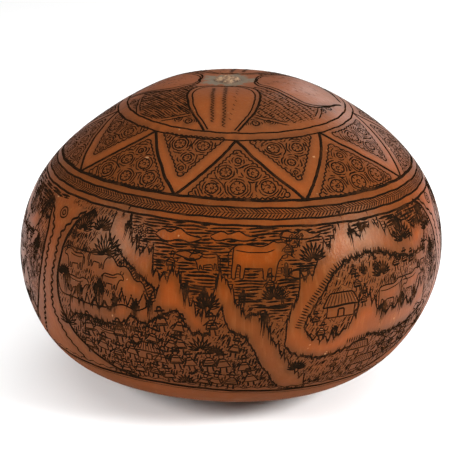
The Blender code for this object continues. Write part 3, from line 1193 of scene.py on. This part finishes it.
def draw_scene(pen, dense, panel, seed):
    """One panel: motifs first, then edges and hatching that leave the motifs and the slopes bare."""
    rng = np.random.default_rng(seed)
    hand = panel[2]
    is_front = panel is PANELS[0]
    wander = np.zeros(2) if is_front else np.array([1.8, 1.6])
    slopes = [jagged(in_panel(shape, panel), rng) for shape in FRONT_BARE]
    slopes += [curve_through(in_panel(shape, panel), closed=True, per_span=4) for shape in SMOOTH_BARE]
    left, right = panel_outline(panel)
    outside = border_strips(left, right)
    kept = list(slopes)

    def put(motif, turn, down, size=1.0, flip=1.0, tilt=0.0):
        """Sets a motif down in this panel and keeps its outline bare."""
        spot = in_panel([(turn, down)], panel)[0] + rng.uniform(-1.0, 1.0, 2) * wander
        kept.append(set_down(pen, motif, spot[0], spot[1], size, flip * hand, tilt))

    for turn, down, size, flip in FRONT_COWS:
        put(cow(), turn, down, size, flip, rng.uniform(-4, 4))
    for turn, down, reach in FRONT_AGAVES:
        kind = 0 if is_front else int(rng.integers(0, 3))
        put(plant(kind, reach / 7.0, int(turn) + 90), turn, down, 1.0 if kind == 0 else 0.13 * reach)
    for turn, down, size in FRONT_TREES:
        kind = 1 if is_front else int(rng.integers(0, 3))
        put(plant(kind, 1.0, int(turn) + 90), turn, down, size)
    for make, spots in ((hut, FRONT_HUTS), (cactus, FRONT_CACTI), (villager, FRONT_FOLK)):
        for turn, down, size in spots:
            put(make(), turn, down, size)
    for path in FRINGES:
        ticks(dense, in_panel(path, panel), TICK_LENGTH, TICK_PITCH, TICK_WIDTH)
    for crowd in CROWDS:
        for turn, down in crowd_rows(rng, *crowd):
            spot = in_panel([(turn, down - 3.0)], panel)
            if clear_of(spot, kept)[0] and clear_of(spot, outside)[0]:
                figure = crowd_member(rng)
                put(figure, turn, down, rng.uniform(1.15, 1.5), rng.choice([-1.0, 1.0]), rng.uniform(-14, 14))
    for turn, down, width, length in DARK_TIPS:
        spot = in_panel([(turn, down)], panel)[0]
        dark_tip(dense, spot[0], spot[1], width, length, rng)
    for number, slope in enumerate(slopes):
        if number < len(FRONT_BARE):
            fringe(dense, slope, rng, 3.2, 0.95, upward=False)
            fringe(dense, slope, rng, 2.0, 0.9, upward=True)
        edge = even_path(np.concatenate([slope, slope[:1]]), 0.9)[0]
        for start, end in zip(*runs(clear_of(edge, outside))):
            if end - start > 1:
                dense.line(edge[start:end], 0.8)
    figures = kept[len(slopes):] + outside
    for count, ground in enumerate(DARK_GROUNDS):
        dark = belt_flat(in_panel(ground, panel))
        hatch_all(dense, dark, belt_place, figures, DARK_HATCHING, seed + 6 + count)
    shade_scene(dense, panel, kept + outside, seed)


def crowd_member(rng):
    """Mostly villagers, here and there a plant."""
    if rng.random() < 0.14:
        return agave(rng.uniform(4.0, 5.5), blades=9)
    return villager(0.72, int(rng.integers(1, 4)), rng.uniform(-1.0, 1.0))


def plant(kind, size, seed):
    """An agave, a tree or a cactus, by its number."""
    if kind == 0:
        return agave(7.0 * size)
    return tree(seed=seed) if kind == 1 else cactus()


def shade_scene(pen, panel, kept, seed):
    """The dark grounds of a panel: level rows for the sky, crossed slanting dashes for the rest. Each
    ground stops where the one before it lies."""
    for outline, recipes in GROUNDS:
        region = in_panel(outline, panel)
        hatch_all(pen, belt_flat(region), belt_place, kept, recipes, seed)
        kept = kept + [region]


def border_strips(left, right):
    """Shapes that cover what lies outside a panel's border, so that hatching stops at it."""
    left_end = left[0][0] - 40.0
    right_end = right[-1][0] + 40.0
    far_left = np.concatenate([left, [(left[-1][0], 200.0), (left_end, 200.0), (left_end, left[0][1])]])
    far_right = np.concatenate([right, [(right_end, right[-1][1]), (right_end, 200.0), (right[0][0], 200.0)]])
    low_turns = np.linspace(left[-1][0], right[0][0], 24)
    lower = np.stack([low_turns, base_down(low_turns) - 2.5], axis=1)
    under = np.concatenate([lower, [(low_turns[-1], 210.0), (low_turns[0], 210.0)]])
    top_turns = np.linspace(left[0][0] - 30.0, right[-1][0] + 30.0, 40)
    upper = np.stack([top_turns, ring_down(ROPE_RINGS[3], top_turns) + 0.6], axis=1)
    over = np.concatenate([upper, [(top_turns[-1], 60.0), (top_turns[0], 60.0)]])
    return [far_left, far_right, under, over]


PANEL_EDGE_WIDTH = 1.7
BAND_LINE_WIDTH = 1.25
# Half the width of a band at its waist, in degrees, and how it flares at its two ends: the degrees added,
# the way down where that starts, the millimetres to the full flare, and the power it grows with.
BAND_HALF = 1.9
BAND_FLARES = [(7.5, 112.0, -14.0, 1.4), (9.0, 142.0, 26.0, 1.5)]
EYE_SIZE = np.array([1.7, 2.4])
EYE_DOWN = 103.0


def draw_borders(pen):
    """The panels' dark outlines, and the bare bands between them, each with two waving lines and an eye."""
    for panel in PANELS:
        for side in panel_outline(panel):
            pen.line(side, PANEL_EDGE_WIDTH, tapered=False)
    down = np.linspace(99.0, 168.0, 90)
    for middle in BANDS:
        spread = BAND_HALF
        for size, start, length, power in BAND_FLARES:
            spread = spread + size * np.clip((down - start) / length, 0.0, 1.0) ** power
        for hand in (-1.0, 1.0):
            sway = 0.5 * np.sin(down * 1.9 + hand)
            pen.line(np.stack([middle + hand * spread + sway, down], axis=1), BAND_LINE_WIDTH, step=0.8)
        for size in (1.0, 0.45):
            eye = circle(0.0, 0.0, 1.0, 15) * (EYE_SIZE * size) + [middle, EYE_DOWN]
            pen.line(eye, 0.75, tapered=False, step=0.8)


BASE_WAVES = 96.0
BASE_WAVE_HEIGHT = 0.7
# The three lines of the base: millimetres under the border, share of the wave, and width.
BASE_LINES = [(-2.6, 1.0, 0.65), (0.0, 0.0, 1.7), (1.9, 0.0, 0.45)]


def draw_base_lines(pen):
    """The lines that close the belt below: a waving one, a broad one and a thin one."""
    turns = np.linspace(-180.0, 180.0, 721)
    wave = BASE_WAVE_HEIGHT * np.sin(np.radians(turns) * BASE_WAVES)
    for lower, share, width in BASE_LINES:
        pen.line(np.stack([turns, base_down(turns) + lower + share * wave], axis=1), width, tapered=False)


# ---------------------------------------------------------------- materials

def new_material(name, roughness):
    """A material with its Principled shader, and that shader."""
    material = bpy.data.materials.new(name)
    material.use_nodes = True
    shader = material.node_tree.nodes["Principled BSDF"]
    shader.inputs["Roughness"].default_value = roughness
    return material, shader


def node(tree, kind, **values):
    """A node of that kind with its settings and input values filled in."""
    made = tree.nodes.new(kind)
    for key, value in values.items():
        if key in made.inputs:
            made.inputs[key].default_value = value
        else:
            setattr(made, key, value)
    return made


def make_patches_group():
    """Soft patches, shared by skin, burnt lines and cork: noise of the place, spread smoothly so that Low
    becomes 0 and High becomes 1. Mask is the patches and Height the plain noise."""
    group = bpy.data.node_groups.new("soft_patches", "ShaderNodeTree")
    group.interface.new_socket("Place", in_out="INPUT", socket_type="NodeSocketVector")
    for name in ("Scale", "Detail", "Roughness", "Low", "High"):
        group.interface.new_socket(name, in_out="INPUT", socket_type="NodeSocketFloat")
    for name in ("Mask", "Height"):
        group.interface.new_socket(name, in_out="OUTPUT", socket_type="NodeSocketFloat")
    given = node(group, "NodeGroupInput")
    result = node(group, "NodeGroupOutput")
    pattern = node(group, "ShaderNodeTexNoise")
    spread = node(group, "ShaderNodeMapRange", interpolation_type="SMOOTHSTEP")
    group.links.new(given.outputs["Place"], pattern.inputs["Vector"])
    for name in ("Scale", "Detail", "Roughness"):
        group.links.new(given.outputs[name], pattern.inputs[name])
    group.links.new(pattern.outputs["Fac"], spread.inputs["Value"])
    group.links.new(given.outputs["Low"], spread.inputs["From Min"])
    group.links.new(given.outputs["High"], spread.inputs["From Max"])
    group.links.new(spread.outputs["Result"], result.inputs["Mask"])
    group.links.new(pattern.outputs["Fac"], result.inputs["Height"])
    return group


PATCHES_GROUP = make_patches_group()


def patches(tree, place, scale, detail=3.0, low=0.40, high=0.60, roughness=0.55):
    """The shared soft patches with this material's own values: their mask and their height."""
    made = tree.nodes.new("ShaderNodeGroup")
    made.node_tree = PATCHES_GROUP
    values = {"Scale": scale, "Detail": detail, "Roughness": roughness, "Low": low, "High": high}
    for name, value in values.items():
        made.inputs[name].default_value = value
    tree.links.new(place, made.inputs["Place"])
    return made.outputs["Mask"], made.outputs["Height"]


def stretched(tree, coordinates, scale):
    """The coordinates scaled unevenly, which draws a pattern out along an axis."""
    made = node(tree, "ShaderNodeMapping")
    made.inputs["Scale"].default_value = scale
    tree.links.new(coordinates, made.inputs["Vector"])
    return made.outputs["Vector"]


def ramp(tree, factor, low, high):
    """A value spread so that `low` becomes 0 and `high` becomes 1, smoothly."""
    made = node(tree, "ShaderNodeMapRange", interpolation_type="SMOOTHSTEP")
    made.inputs["From Min"].default_value = low
    made.inputs["From Max"].default_value = high
    tree.links.new(factor, made.inputs["Value"])
    return made.outputs["Result"]


def blend_colour(tree, factor, first, second):
    """A mix of two colours, each a colour or a socket, by a factor socket."""
    made = node(tree, "ShaderNodeMix", data_type="RGBA")
    tree.links.new(factor, made.inputs["Factor"])
    for name, value in (("A", first), ("B", second)):
        socket = [entry for entry in made.inputs if entry.name == name and entry.type == "RGBA"][0]
        if isinstance(value, bpy.types.NodeSocket):
            tree.links.new(value, socket)
        else:
            socket.default_value = (*value, 1.0)
    return [entry for entry in made.outputs if entry.type == "RGBA"][0]


def scaled(tree, factor, amount, plus=0.0):
    """A value times an amount, plus a constant."""
    made = node(tree, "ShaderNodeMath", operation="MULTIPLY_ADD")
    tree.links.new(factor, made.inputs[0])
    made.inputs[1].default_value = amount
    made.inputs[2].default_value = plus
    return made.outputs[0]


def attribute(tree, name):
    """The piece's own number of that name."""
    made = node(tree, "ShaderNodeAttribute", attribute_name=name)
    return made.outputs["Fac"]


def bump(tree, height, distance, strength, normal=None):
    """Small relief from a height value."""
    made = node(tree, "ShaderNodeBump")
    made.inputs["Distance"].default_value = distance
    made.inputs["Strength"].default_value = strength
    tree.links.new(height, made.inputs["Height"])
    if normal is not None:
        tree.links.new(normal, made.inputs["Normal"])
    return made.outputs["Normal"]


SHEEN_TINT = (1.0, 0.74, 0.52)
# Painted sheen: the crown's browner tone stands in for the sheen on its top.
CROWN_PAINTED_SHEEN = (0.145, 0.038, 0.0070)
SKIN_ORANGE = (0.200, 0.036, 0.0024)
SKIN_RUST = (0.118, 0.026, 0.0036)
SKIN_TAN = (0.215, 0.074, 0.018)
# Painted shade: the darker colour of the skin's foot.
BASE_PAINTED_SHADE = (0.095, 0.026, 0.0050)
SOOT_BROWN = (0.060, 0.0155, 0.0020)
WORN_GREY = (0.110, 0.092, 0.062)
NICK_PALE = (0.34, 0.18, 0.085)
CHAR_BLACK = (0.0090, 0.0050, 0.0028)
CHAR_BROWN = (0.036, 0.013, 0.005)
CORK_BROWN = (0.095, 0.048, 0.022)
CORK_PALE = (0.235, 0.140, 0.072)
# The darkest cork colour: the notches, and painted shade on the stub's side and underside.
CORK_NOTCH_AND_SHADE = (0.022, 0.011, 0.006)


def set_sheen(shader, level):
    """How much the surface shines, always with the warm tint."""
    shader.inputs["Specular IOR Level"].default_value = level
    shader.inputs["Specular Tint"].default_value = (*SHEEN_TINT, 1.0)


def skin_material():
    """Dried gourd skin: orange and rust mottling, upright streaks, painted sheen that browns the crown,
    painted shade that darkens the foot, soot rubbed into the engraved parts, a worn grey ring at the stem,
    and pale nicks."""
    material, shader = new_material("gourd_skin", 0.36)
    tree = material.node_tree
    place = node(tree, "ShaderNodeTexCoord").outputs["Object"]
    mottle, _ = patches(tree, place, 26.0, 4.0, 0.34, 0.68)
    colour = blend_colour(tree, mottle, SKIN_ORANGE, SKIN_RUST)
    streaks, streak_height = patches(tree, stretched(tree, place, (1.0, 1.0, 0.07)), 620.0, 4.0, 0.46, 0.74)
    colour = blend_colour(tree, scaled(tree, streaks, 0.42), colour, SKIN_TAN)
    height = node(tree, "ShaderNodeSeparateXYZ")
    tree.links.new(place, height.inputs[0])
    # Painted shade: the skin darkens towards the bottom.
    lower = ramp(tree, height.outputs["Z"], 0.070, 0.010)
    colour = blend_colour(tree, scaled(tree, lower, 0.75), colour, BASE_PAINTED_SHADE)
    # Painted sheen: the skin turns browner towards the crown.
    upper = ramp(tree, height.outputs["Z"], 0.088, 0.116)
    colour = blend_colour(tree, scaled(tree, upper, 0.60), colour, CROWN_PAINTED_SHEEN)
    tan, _ = patches(tree, place, 60.0, 5.0, 0.56, 0.74)
    colour = blend_colour(tree, scaled(tree, tan, 0.35), colour, SKIN_TAN)
    colour = blend_colour(tree, scaled(tree, attribute(tree, "soot"), 0.70), colour, SOOT_BROWN)
    ragged = node(tree, "ShaderNodeMath", operation="ADD")
    tree.links.new(attribute(tree, "worn"), ragged.inputs[0])
    tree.links.new(patches(tree, place, 420.0, 5.0)[1], ragged.inputs[1])
    worn = scaled(tree, ramp(tree, ragged.outputs[0], 0.80, 1.10), 0.85)
    colour = blend_colour(tree, worn, colour, WORN_GREY)
    nicks, _ = patches(tree, place, 330.0, 2.0, 0.750, 0.785, roughness=0.4)
    colour = blend_colour(tree, scaled(tree, nicks, 0.55), colour, NICK_PALE)
    tree.links.new(colour, shader.inputs["Base Color"])
    _, grain = patches(tree, place, 900.0, 3.0)
    rough = node(tree, "ShaderNodeMath", operation="MULTIPLY_ADD")
    tree.links.new(ramp(tree, height.outputs["Z"], 0.062, 0.014), rough.inputs[0])
    rough.inputs[1].default_value = 0.48
    tree.links.new(scaled(tree, patches(tree, place, 140.0, 4.0)[1], 0.22, 0.26), rough.inputs[2])
    tree.links.new(rough.outputs[0], shader.inputs["Roughness"])
    coarse = bump(tree, patches(tree, place, 150.0, 4.0)[1], 0.0006, 0.25)
    coarse = bump(tree, streak_height, 0.0003, 0.40, coarse)
    tree.links.new(bump(tree, grain, 0.0002, 0.35, coarse), shader.inputs["Normal"])
    set_sheen(shader, 0.15)
    return material


def burnt_material():
    """Burnt line: charred black that turns brown where the point was cooler."""
    material, shader = new_material("burnt_line", 0.6)
    set_sheen(shader, 0.0)
    tree = material.node_tree
    place = node(tree, "ShaderNodeTexCoord").outputs["Object"]
    cooler, _ = patches(tree, place, 210.0, 4.0, 0.48, 0.78)
    colour = blend_colour(tree, cooler, CHAR_BLACK, CHAR_BROWN)
    tree.links.new(colour, shader.inputs["Base Color"])
    tree.links.new(scaled(tree, cooler, -0.12, 0.68), shader.inputs["Roughness"])
    return material


def cork_material():
    """Corky stem scar: pale tan fibres round dark pits and cracks, with painted shade darkening its side and
    underside.
    """
    material, shader = new_material("stem_cork", 0.85)
    tree = material.node_tree
    place = node(tree, "ShaderNodeTexCoord").outputs["Object"]
    pale, fibres = patches(tree, place, 480.0, 4.0, 0.40, 0.62)
    colour = blend_colour(tree, pale, CORK_BROWN, CORK_PALE)
    colour = blend_colour(tree, attribute(tree, "notch_and_side_shade"), colour, CORK_NOTCH_AND_SHADE)
    tree.links.new(colour, shader.inputs["Base Color"])
    tree.links.new(scaled(tree, fibres, 0.2, 0.7), shader.inputs["Roughness"])
    tree.links.new(bump(tree, fibres, 0.0006, 0.6), shader.inputs["Normal"])
    return material


# ---------------------------------------------------------------- pieces

SKIN_COLUMNS = 420
SKIN_ROW_STEP = 1.30
CROWN_END = 16.0
CROWN_ROWS = 22
# The worn ring: how far down it reaches, how much its edge wanders and fades over, and its strength.
WORN_END = 15.6
WORN_WANDER = 1.3
WORN_FADE = 6.5
WORN_STRENGTH = 0.62
# Its edge as sines of the turn: (waves on the way round, share, start).
WORN_TURN_WAVES = ((5, 0.9, 0.4), (11, 0.6, 1.9), (17, 0.35, 4.0))


def skin_downs():
    """Ways down of the skin's rows, closer together on the crown."""
    crown = np.linspace(0.0, CROWN_END, CROWN_ROWS)
    total = WAY_TABLE[-1] / MM
    rest = np.linspace(CROWN_END, total, int((total - CROWN_END) / SKIN_ROW_STEP))
    return np.concatenate([crown, rest[1:]])


SOOT_SPREAD = 2.0
SOOT_SMOOTHINGS = 3


def burn_density(pens, columns, downs):
    """How much of the skin round each grid point is burnt: line lengths times widths gathered into the
    grid's cells and smoothed over the neighbouring cells."""
    density = np.zeros((len(downs), columns))
    for pen in pens:
        places = np.concatenate(pen.paths)
        widths = np.concatenate(pen.widths)
        column = np.rint((places[:, 0] + 180.0) / 360.0 * columns).astype(int) % columns
        row = np.rint(np.interp(places[:, 1], downs, np.arange(len(downs)))).astype(int)
        cell = SKIN_ROW_STEP * np.maximum(radius_mm(places[:, 1]), 8.0) * TAU / columns
        np.add.at(density, (row, column), widths * SOOT_SPREAD / cell)
    for _ in range(SOOT_SMOOTHINGS):
        density = 0.25 * (np.roll(density, 1, axis=1) + np.roll(density, -1, axis=1)) + 0.5 * density
        density[1:-1] = 0.25 * (density[2:] + density[:-2]) + 0.5 * density[1:-1]
    return np.clip(density, 0.0, 1.0)


def make_skin(pens, material):
    """The skin as a grid of turns and ways down, closed at the stem and at the middle of the flat."""
    downs = skin_downs()
    turns = np.linspace(-180.0, 180.0, SKIN_COLUMNS, endpoint=False)
    rows = downs[1:-1]
    points, _ = skin_point(turns[None, :], rows[:, None])
    top, _ = skin_point(np.array([0.0]), np.array([0.0]))
    foot = np.array([[0.0, 0.0, 0.0]])
    foot[0, :2] = points[-1, :, :2].mean(axis=0)
    all_points = np.concatenate([top, points.reshape(-1, 3), foot])
    piece = mesh_piece("gourd_skin", all_points, closed_faces(len(rows), SKIN_COLUMNS), material)
    density = burn_density(pens, SKIN_COLUMNS, downs)
    soot = np.concatenate([[0.0], density[1:-1].ravel(), [0.0]])
    give_attribute(piece, "soot", soot)
    wander = sum(size * np.sin(np.radians(turns) * count + start) for count, size, start in WORN_TURN_WAVES)
    edge = WORN_END + WORN_WANDER * wander[None, :]
    worn_rows = np.clip((edge - rows[:, None]) / WORN_FADE, 0.0, 1.0) * WORN_STRENGTH
    give_attribute(piece, "worn", np.concatenate([[0.6], worn_rows.ravel(), [0.0]]))
    skin_map(piece, turns, downs)
    return piece


def skin_map(piece, turns, downs):
    """UV map of the skin. Corners on the seam take the far edge of the map, and a pole's corner takes the
    middle of its face."""
    mesh = piece.data
    corner = corner_points(mesh)
    inner = (corner - 1) % len(turns)
    row = (corner - 1) // len(turns)
    last = len(mesh.vertices) - 1
    column = inner.astype(float)
    starts = np.empty(len(mesh.polygons), np.int32)
    totals = np.empty(len(mesh.polygons), np.int32)
    mesh.polygons.foreach_get("loop_start", starts)
    mesh.polygons.foreach_get("loop_total", totals)
    face = np.repeat(np.arange(len(starts)), totals)
    is_pole = (corner == 0) | (corner == last)
    column[is_pole] = -1.0
    highest = np.maximum.reduceat(column, starts)
    wraps = (highest[face] == len(turns) - 1) & (column == 0)
    column[wraps] = len(turns)
    lowest = np.minimum.reduceat(np.where(is_pole, 1.0e9, column), starts)
    column[is_pole] = lowest[face][is_pole] + 0.5
    down = downs[np.clip(row + 1, 0, len(downs) - 1)]
    down = np.where(corner == 0, 0.0, np.where(corner == last, downs[-1], down))
    write_map(mesh, column / len(turns), down)


STUB_RADIUS = 0.0064
STUB_HEIGHT = 0.0024
STUB_SINK = -0.0002
# The rim's waves: (share of the radius, waves on the way round, start).
STUB_RIM_WAVES = [(0.07, 3, 0.7), (0.05, 7, 2.0), (0.03, 13, 0.0)]
# Notches in the rim: (direction, half width), in radians.
STUB_NOTCHES = [(-0.85, 0.30), (0.80, 0.26), (2.40, 0.22), (-2.3, 0.18)]
STUB_ROWS = 34
STUB_COLUMNS = 150


def make_stem_scar(material):
    """The corky stub: a low round cushion, closed underneath by a shallow cone. Its rim and its rings are
    sines of the angle and the radius, and each notch fades as a bell curve of the angle from it."""
    share = np.linspace(0.0, 1.0, STUB_ROWS + 1)[1:, None]
    angle = np.linspace(0.0, TAU, STUB_COLUMNS, endpoint=False)[None, :]
    rim = 1.0
    for size, waves, start in STUB_RIM_WAVES:
        rim = rim + size * np.sin(waves * angle + start)
    radius = STUB_RADIUS * rim * share
    crown = STUB_HEIGHT * (1.0 - share ** 5) * (0.84 + 0.16 * np.cos(angle - 2.8))
    rings = 0.00012 * np.sin(share * 24.0 + 1.3 * np.sin(2 * angle))
    notch = np.zeros_like(share * angle)
    for turn, width in STUB_NOTCHES:
        away = np.abs((angle - turn + math.pi) % TAU - math.pi)
        notch = notch + np.exp(-(away / width) ** 2) * np.clip(share * 2.0 - 0.7, 0.0, 1.0)
    height = crown * (1.0 - 0.75 * np.clip(notch, 0.0, 1.0)) + rings * (1.0 - share ** 4)
    centre = skin_point(np.array([0.0]), np.array([0.0]))[0][0]
    x = centre[0] + radius * np.sin(angle)
    y = centre[1] - radius * np.cos(angle)
    z = centre[2] + STUB_SINK + height
    grid = np.stack([x, y, z], axis=-1).reshape(-1, 3)
    top = np.array([[centre[0], centre[1], centre[2] + STUB_SINK + 0.8 * STUB_HEIGHT]])
    under = np.array([[centre[0], centre[1], centre[2] - 0.0010]])
    points = np.concatenate([top, grid, under])
    piece = mesh_piece("stem_scar", points, closed_faces(STUB_ROWS, STUB_COLUMNS), material)
    # Darker in the notches. The darkening round the rim and underneath is painted shade on the stub's side.
    notch_and_side_shade = np.clip(notch * 1.1 + 0.7 * np.clip(share * 4.5 - 3.4, 0.0, 1.0), 0.0, 1.0)
    give_attribute(piece, "notch_and_side_shade", np.concatenate([[0.2], notch_and_side_shade.ravel(), [1.0]]))
    return piece


# ---------------------------------------------------------------- stage

CAMERA_ELEVATION = math.radians(19.44)
CAMERA_DISTANCE = 0.6706
CAMERA_LENS = 117.44
AIM_UP = 0.00688
AIM_LEFT = 0.00216
SENSOR_WIDTH = 36.0
FLOOR_HALF = 12.0
FLOOR_PALE = (0.93, 0.93, 0.93)
SURROUNDINGS_STRENGTH = 0.26
# Studio lights: name, direction from the gourd, distance, width, height, and power in watts.
SOFT_BOXES = [
    ("left_box", (-0.83, -0.38, 0.40), 0.97, 0.34, 0.34, 8.5),
    ("right_box", (0.82, -0.38, 0.42), 0.97, 0.42, 0.26, 15.5),
    ("top_box", (0.06, -0.12, 1.0), 4.00, 6.00, 6.00, 142.0),
    ("back_box", (0.50, 1.00, 0.46), 1.60, 0.90, 0.50, 4.0),
]


def make_camera():
    """A long lens that looks down at the gourd, aimed just over its belly."""
    data = bpy.data.cameras.new("camera")
    data.sensor_width = SENSOR_WIDTH
    data.lens = CAMERA_LENS
    camera = bpy.data.objects.new("camera", data)
    bpy.context.scene.collection.objects.link(camera)
    back = Vector((0.0, -math.cos(CAMERA_ELEVATION), math.sin(CAMERA_ELEVATION)))
    up = Vector((0.0, math.sin(CAMERA_ELEVATION), math.cos(CAMERA_ELEVATION)))
    belly = Vector((0.0, 0.0, BELLY_HEIGHT))
    camera.location = belly + back * CAMERA_DISTANCE
    target = belly + up * AIM_UP - Vector((AIM_LEFT, 0.0, 0.0))
    camera.rotation_euler = (target - camera.location).to_track_quat("-Z", "Y").to_euler()
    bpy.context.scene.camera = camera


def soft_box(name, direction, distance, width, height, power):
    """A rectangular studio light facing the gourd from a direction."""
    data = bpy.data.lights.new(name, "AREA")
    data.shape = "RECTANGLE"
    data.size = width
    data.size_y = height
    data.energy = power
    light = bpy.data.objects.new(name, data)
    bpy.context.scene.collection.objects.link(light)
    way = Vector(direction).normalized()
    light.location = Vector((0.0, 0.0, BELLY_HEIGHT)) + way * distance
    light.rotation_euler = (-way).to_track_quat("-Z", "Y").to_euler()


def make_stage():
    """Pale floor, white surroundings and the soft boxes."""
    size = FLOOR_HALF
    corners = [(-size, -size, 0.0), (size, -size, 0.0), (size, size, 0.0), (-size, size, 0.0)]
    mesh = bpy.data.meshes.new("floor")
    mesh.from_pydata(corners, [], [(0, 1, 2, 3)])
    floor = bpy.data.objects.new("floor", mesh)
    bpy.context.scene.collection.objects.link(floor)
    material, shader = new_material("pale_floor", 0.9)
    shader.inputs["Base Color"].default_value = (*FLOOR_PALE, 1.0)
    mesh.materials.append(material)
    world = bpy.data.worlds.new("white_surroundings")
    world.use_nodes = True
    world.node_tree.nodes["Background"].inputs["Color"].default_value = (1.0, 1.0, 1.0, 1.0)
    world.node_tree.nodes["Background"].inputs["Strength"].default_value = SURROUNDINGS_STRENGTH
    bpy.context.scene.world = world
    for box in SOFT_BOXES:
        soft_box(*box)
    bpy.context.scene.view_settings.view_transform = "Standard"


# ---------------------------------------------------------------- everything together

def engrave(burnt):
    """Draws every burnt line and makes the pieces. Returns the pens, whose lines the soot follows."""
    crown, shoulder, rope = Pen(), Pen(), Pen()
    draw_crown(crown)
    draw_shoulder(shoulder, rope)
    draw_rope(rope)
    borders = Pen()
    draw_base_lines(borders)
    pens = [crown, shoulder, rope, borders]
    names = ["engraved_crown", "engraved_shoulder", "engraved_bands", "engraved_borders"]
    draw_borders(borders)
    for count, panel in enumerate(PANELS):
        figures, shading = Pen(), Pen()
        draw_scene(figures, shading, panel, 500 + 10 * count)
        pens += [figures, shading]
        names += [f"engraved_figures_{count + 1}", f"engraved_shading_{count + 1}"]
    for pen, name in zip(pens, names):
        pen.piece(name, burnt)
    return pens


make_camera()
make_stage()
lines = engrave(burnt_material())
skin = make_skin(lines, skin_material())
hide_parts("gourd")
make_stem_scar(cork_material())
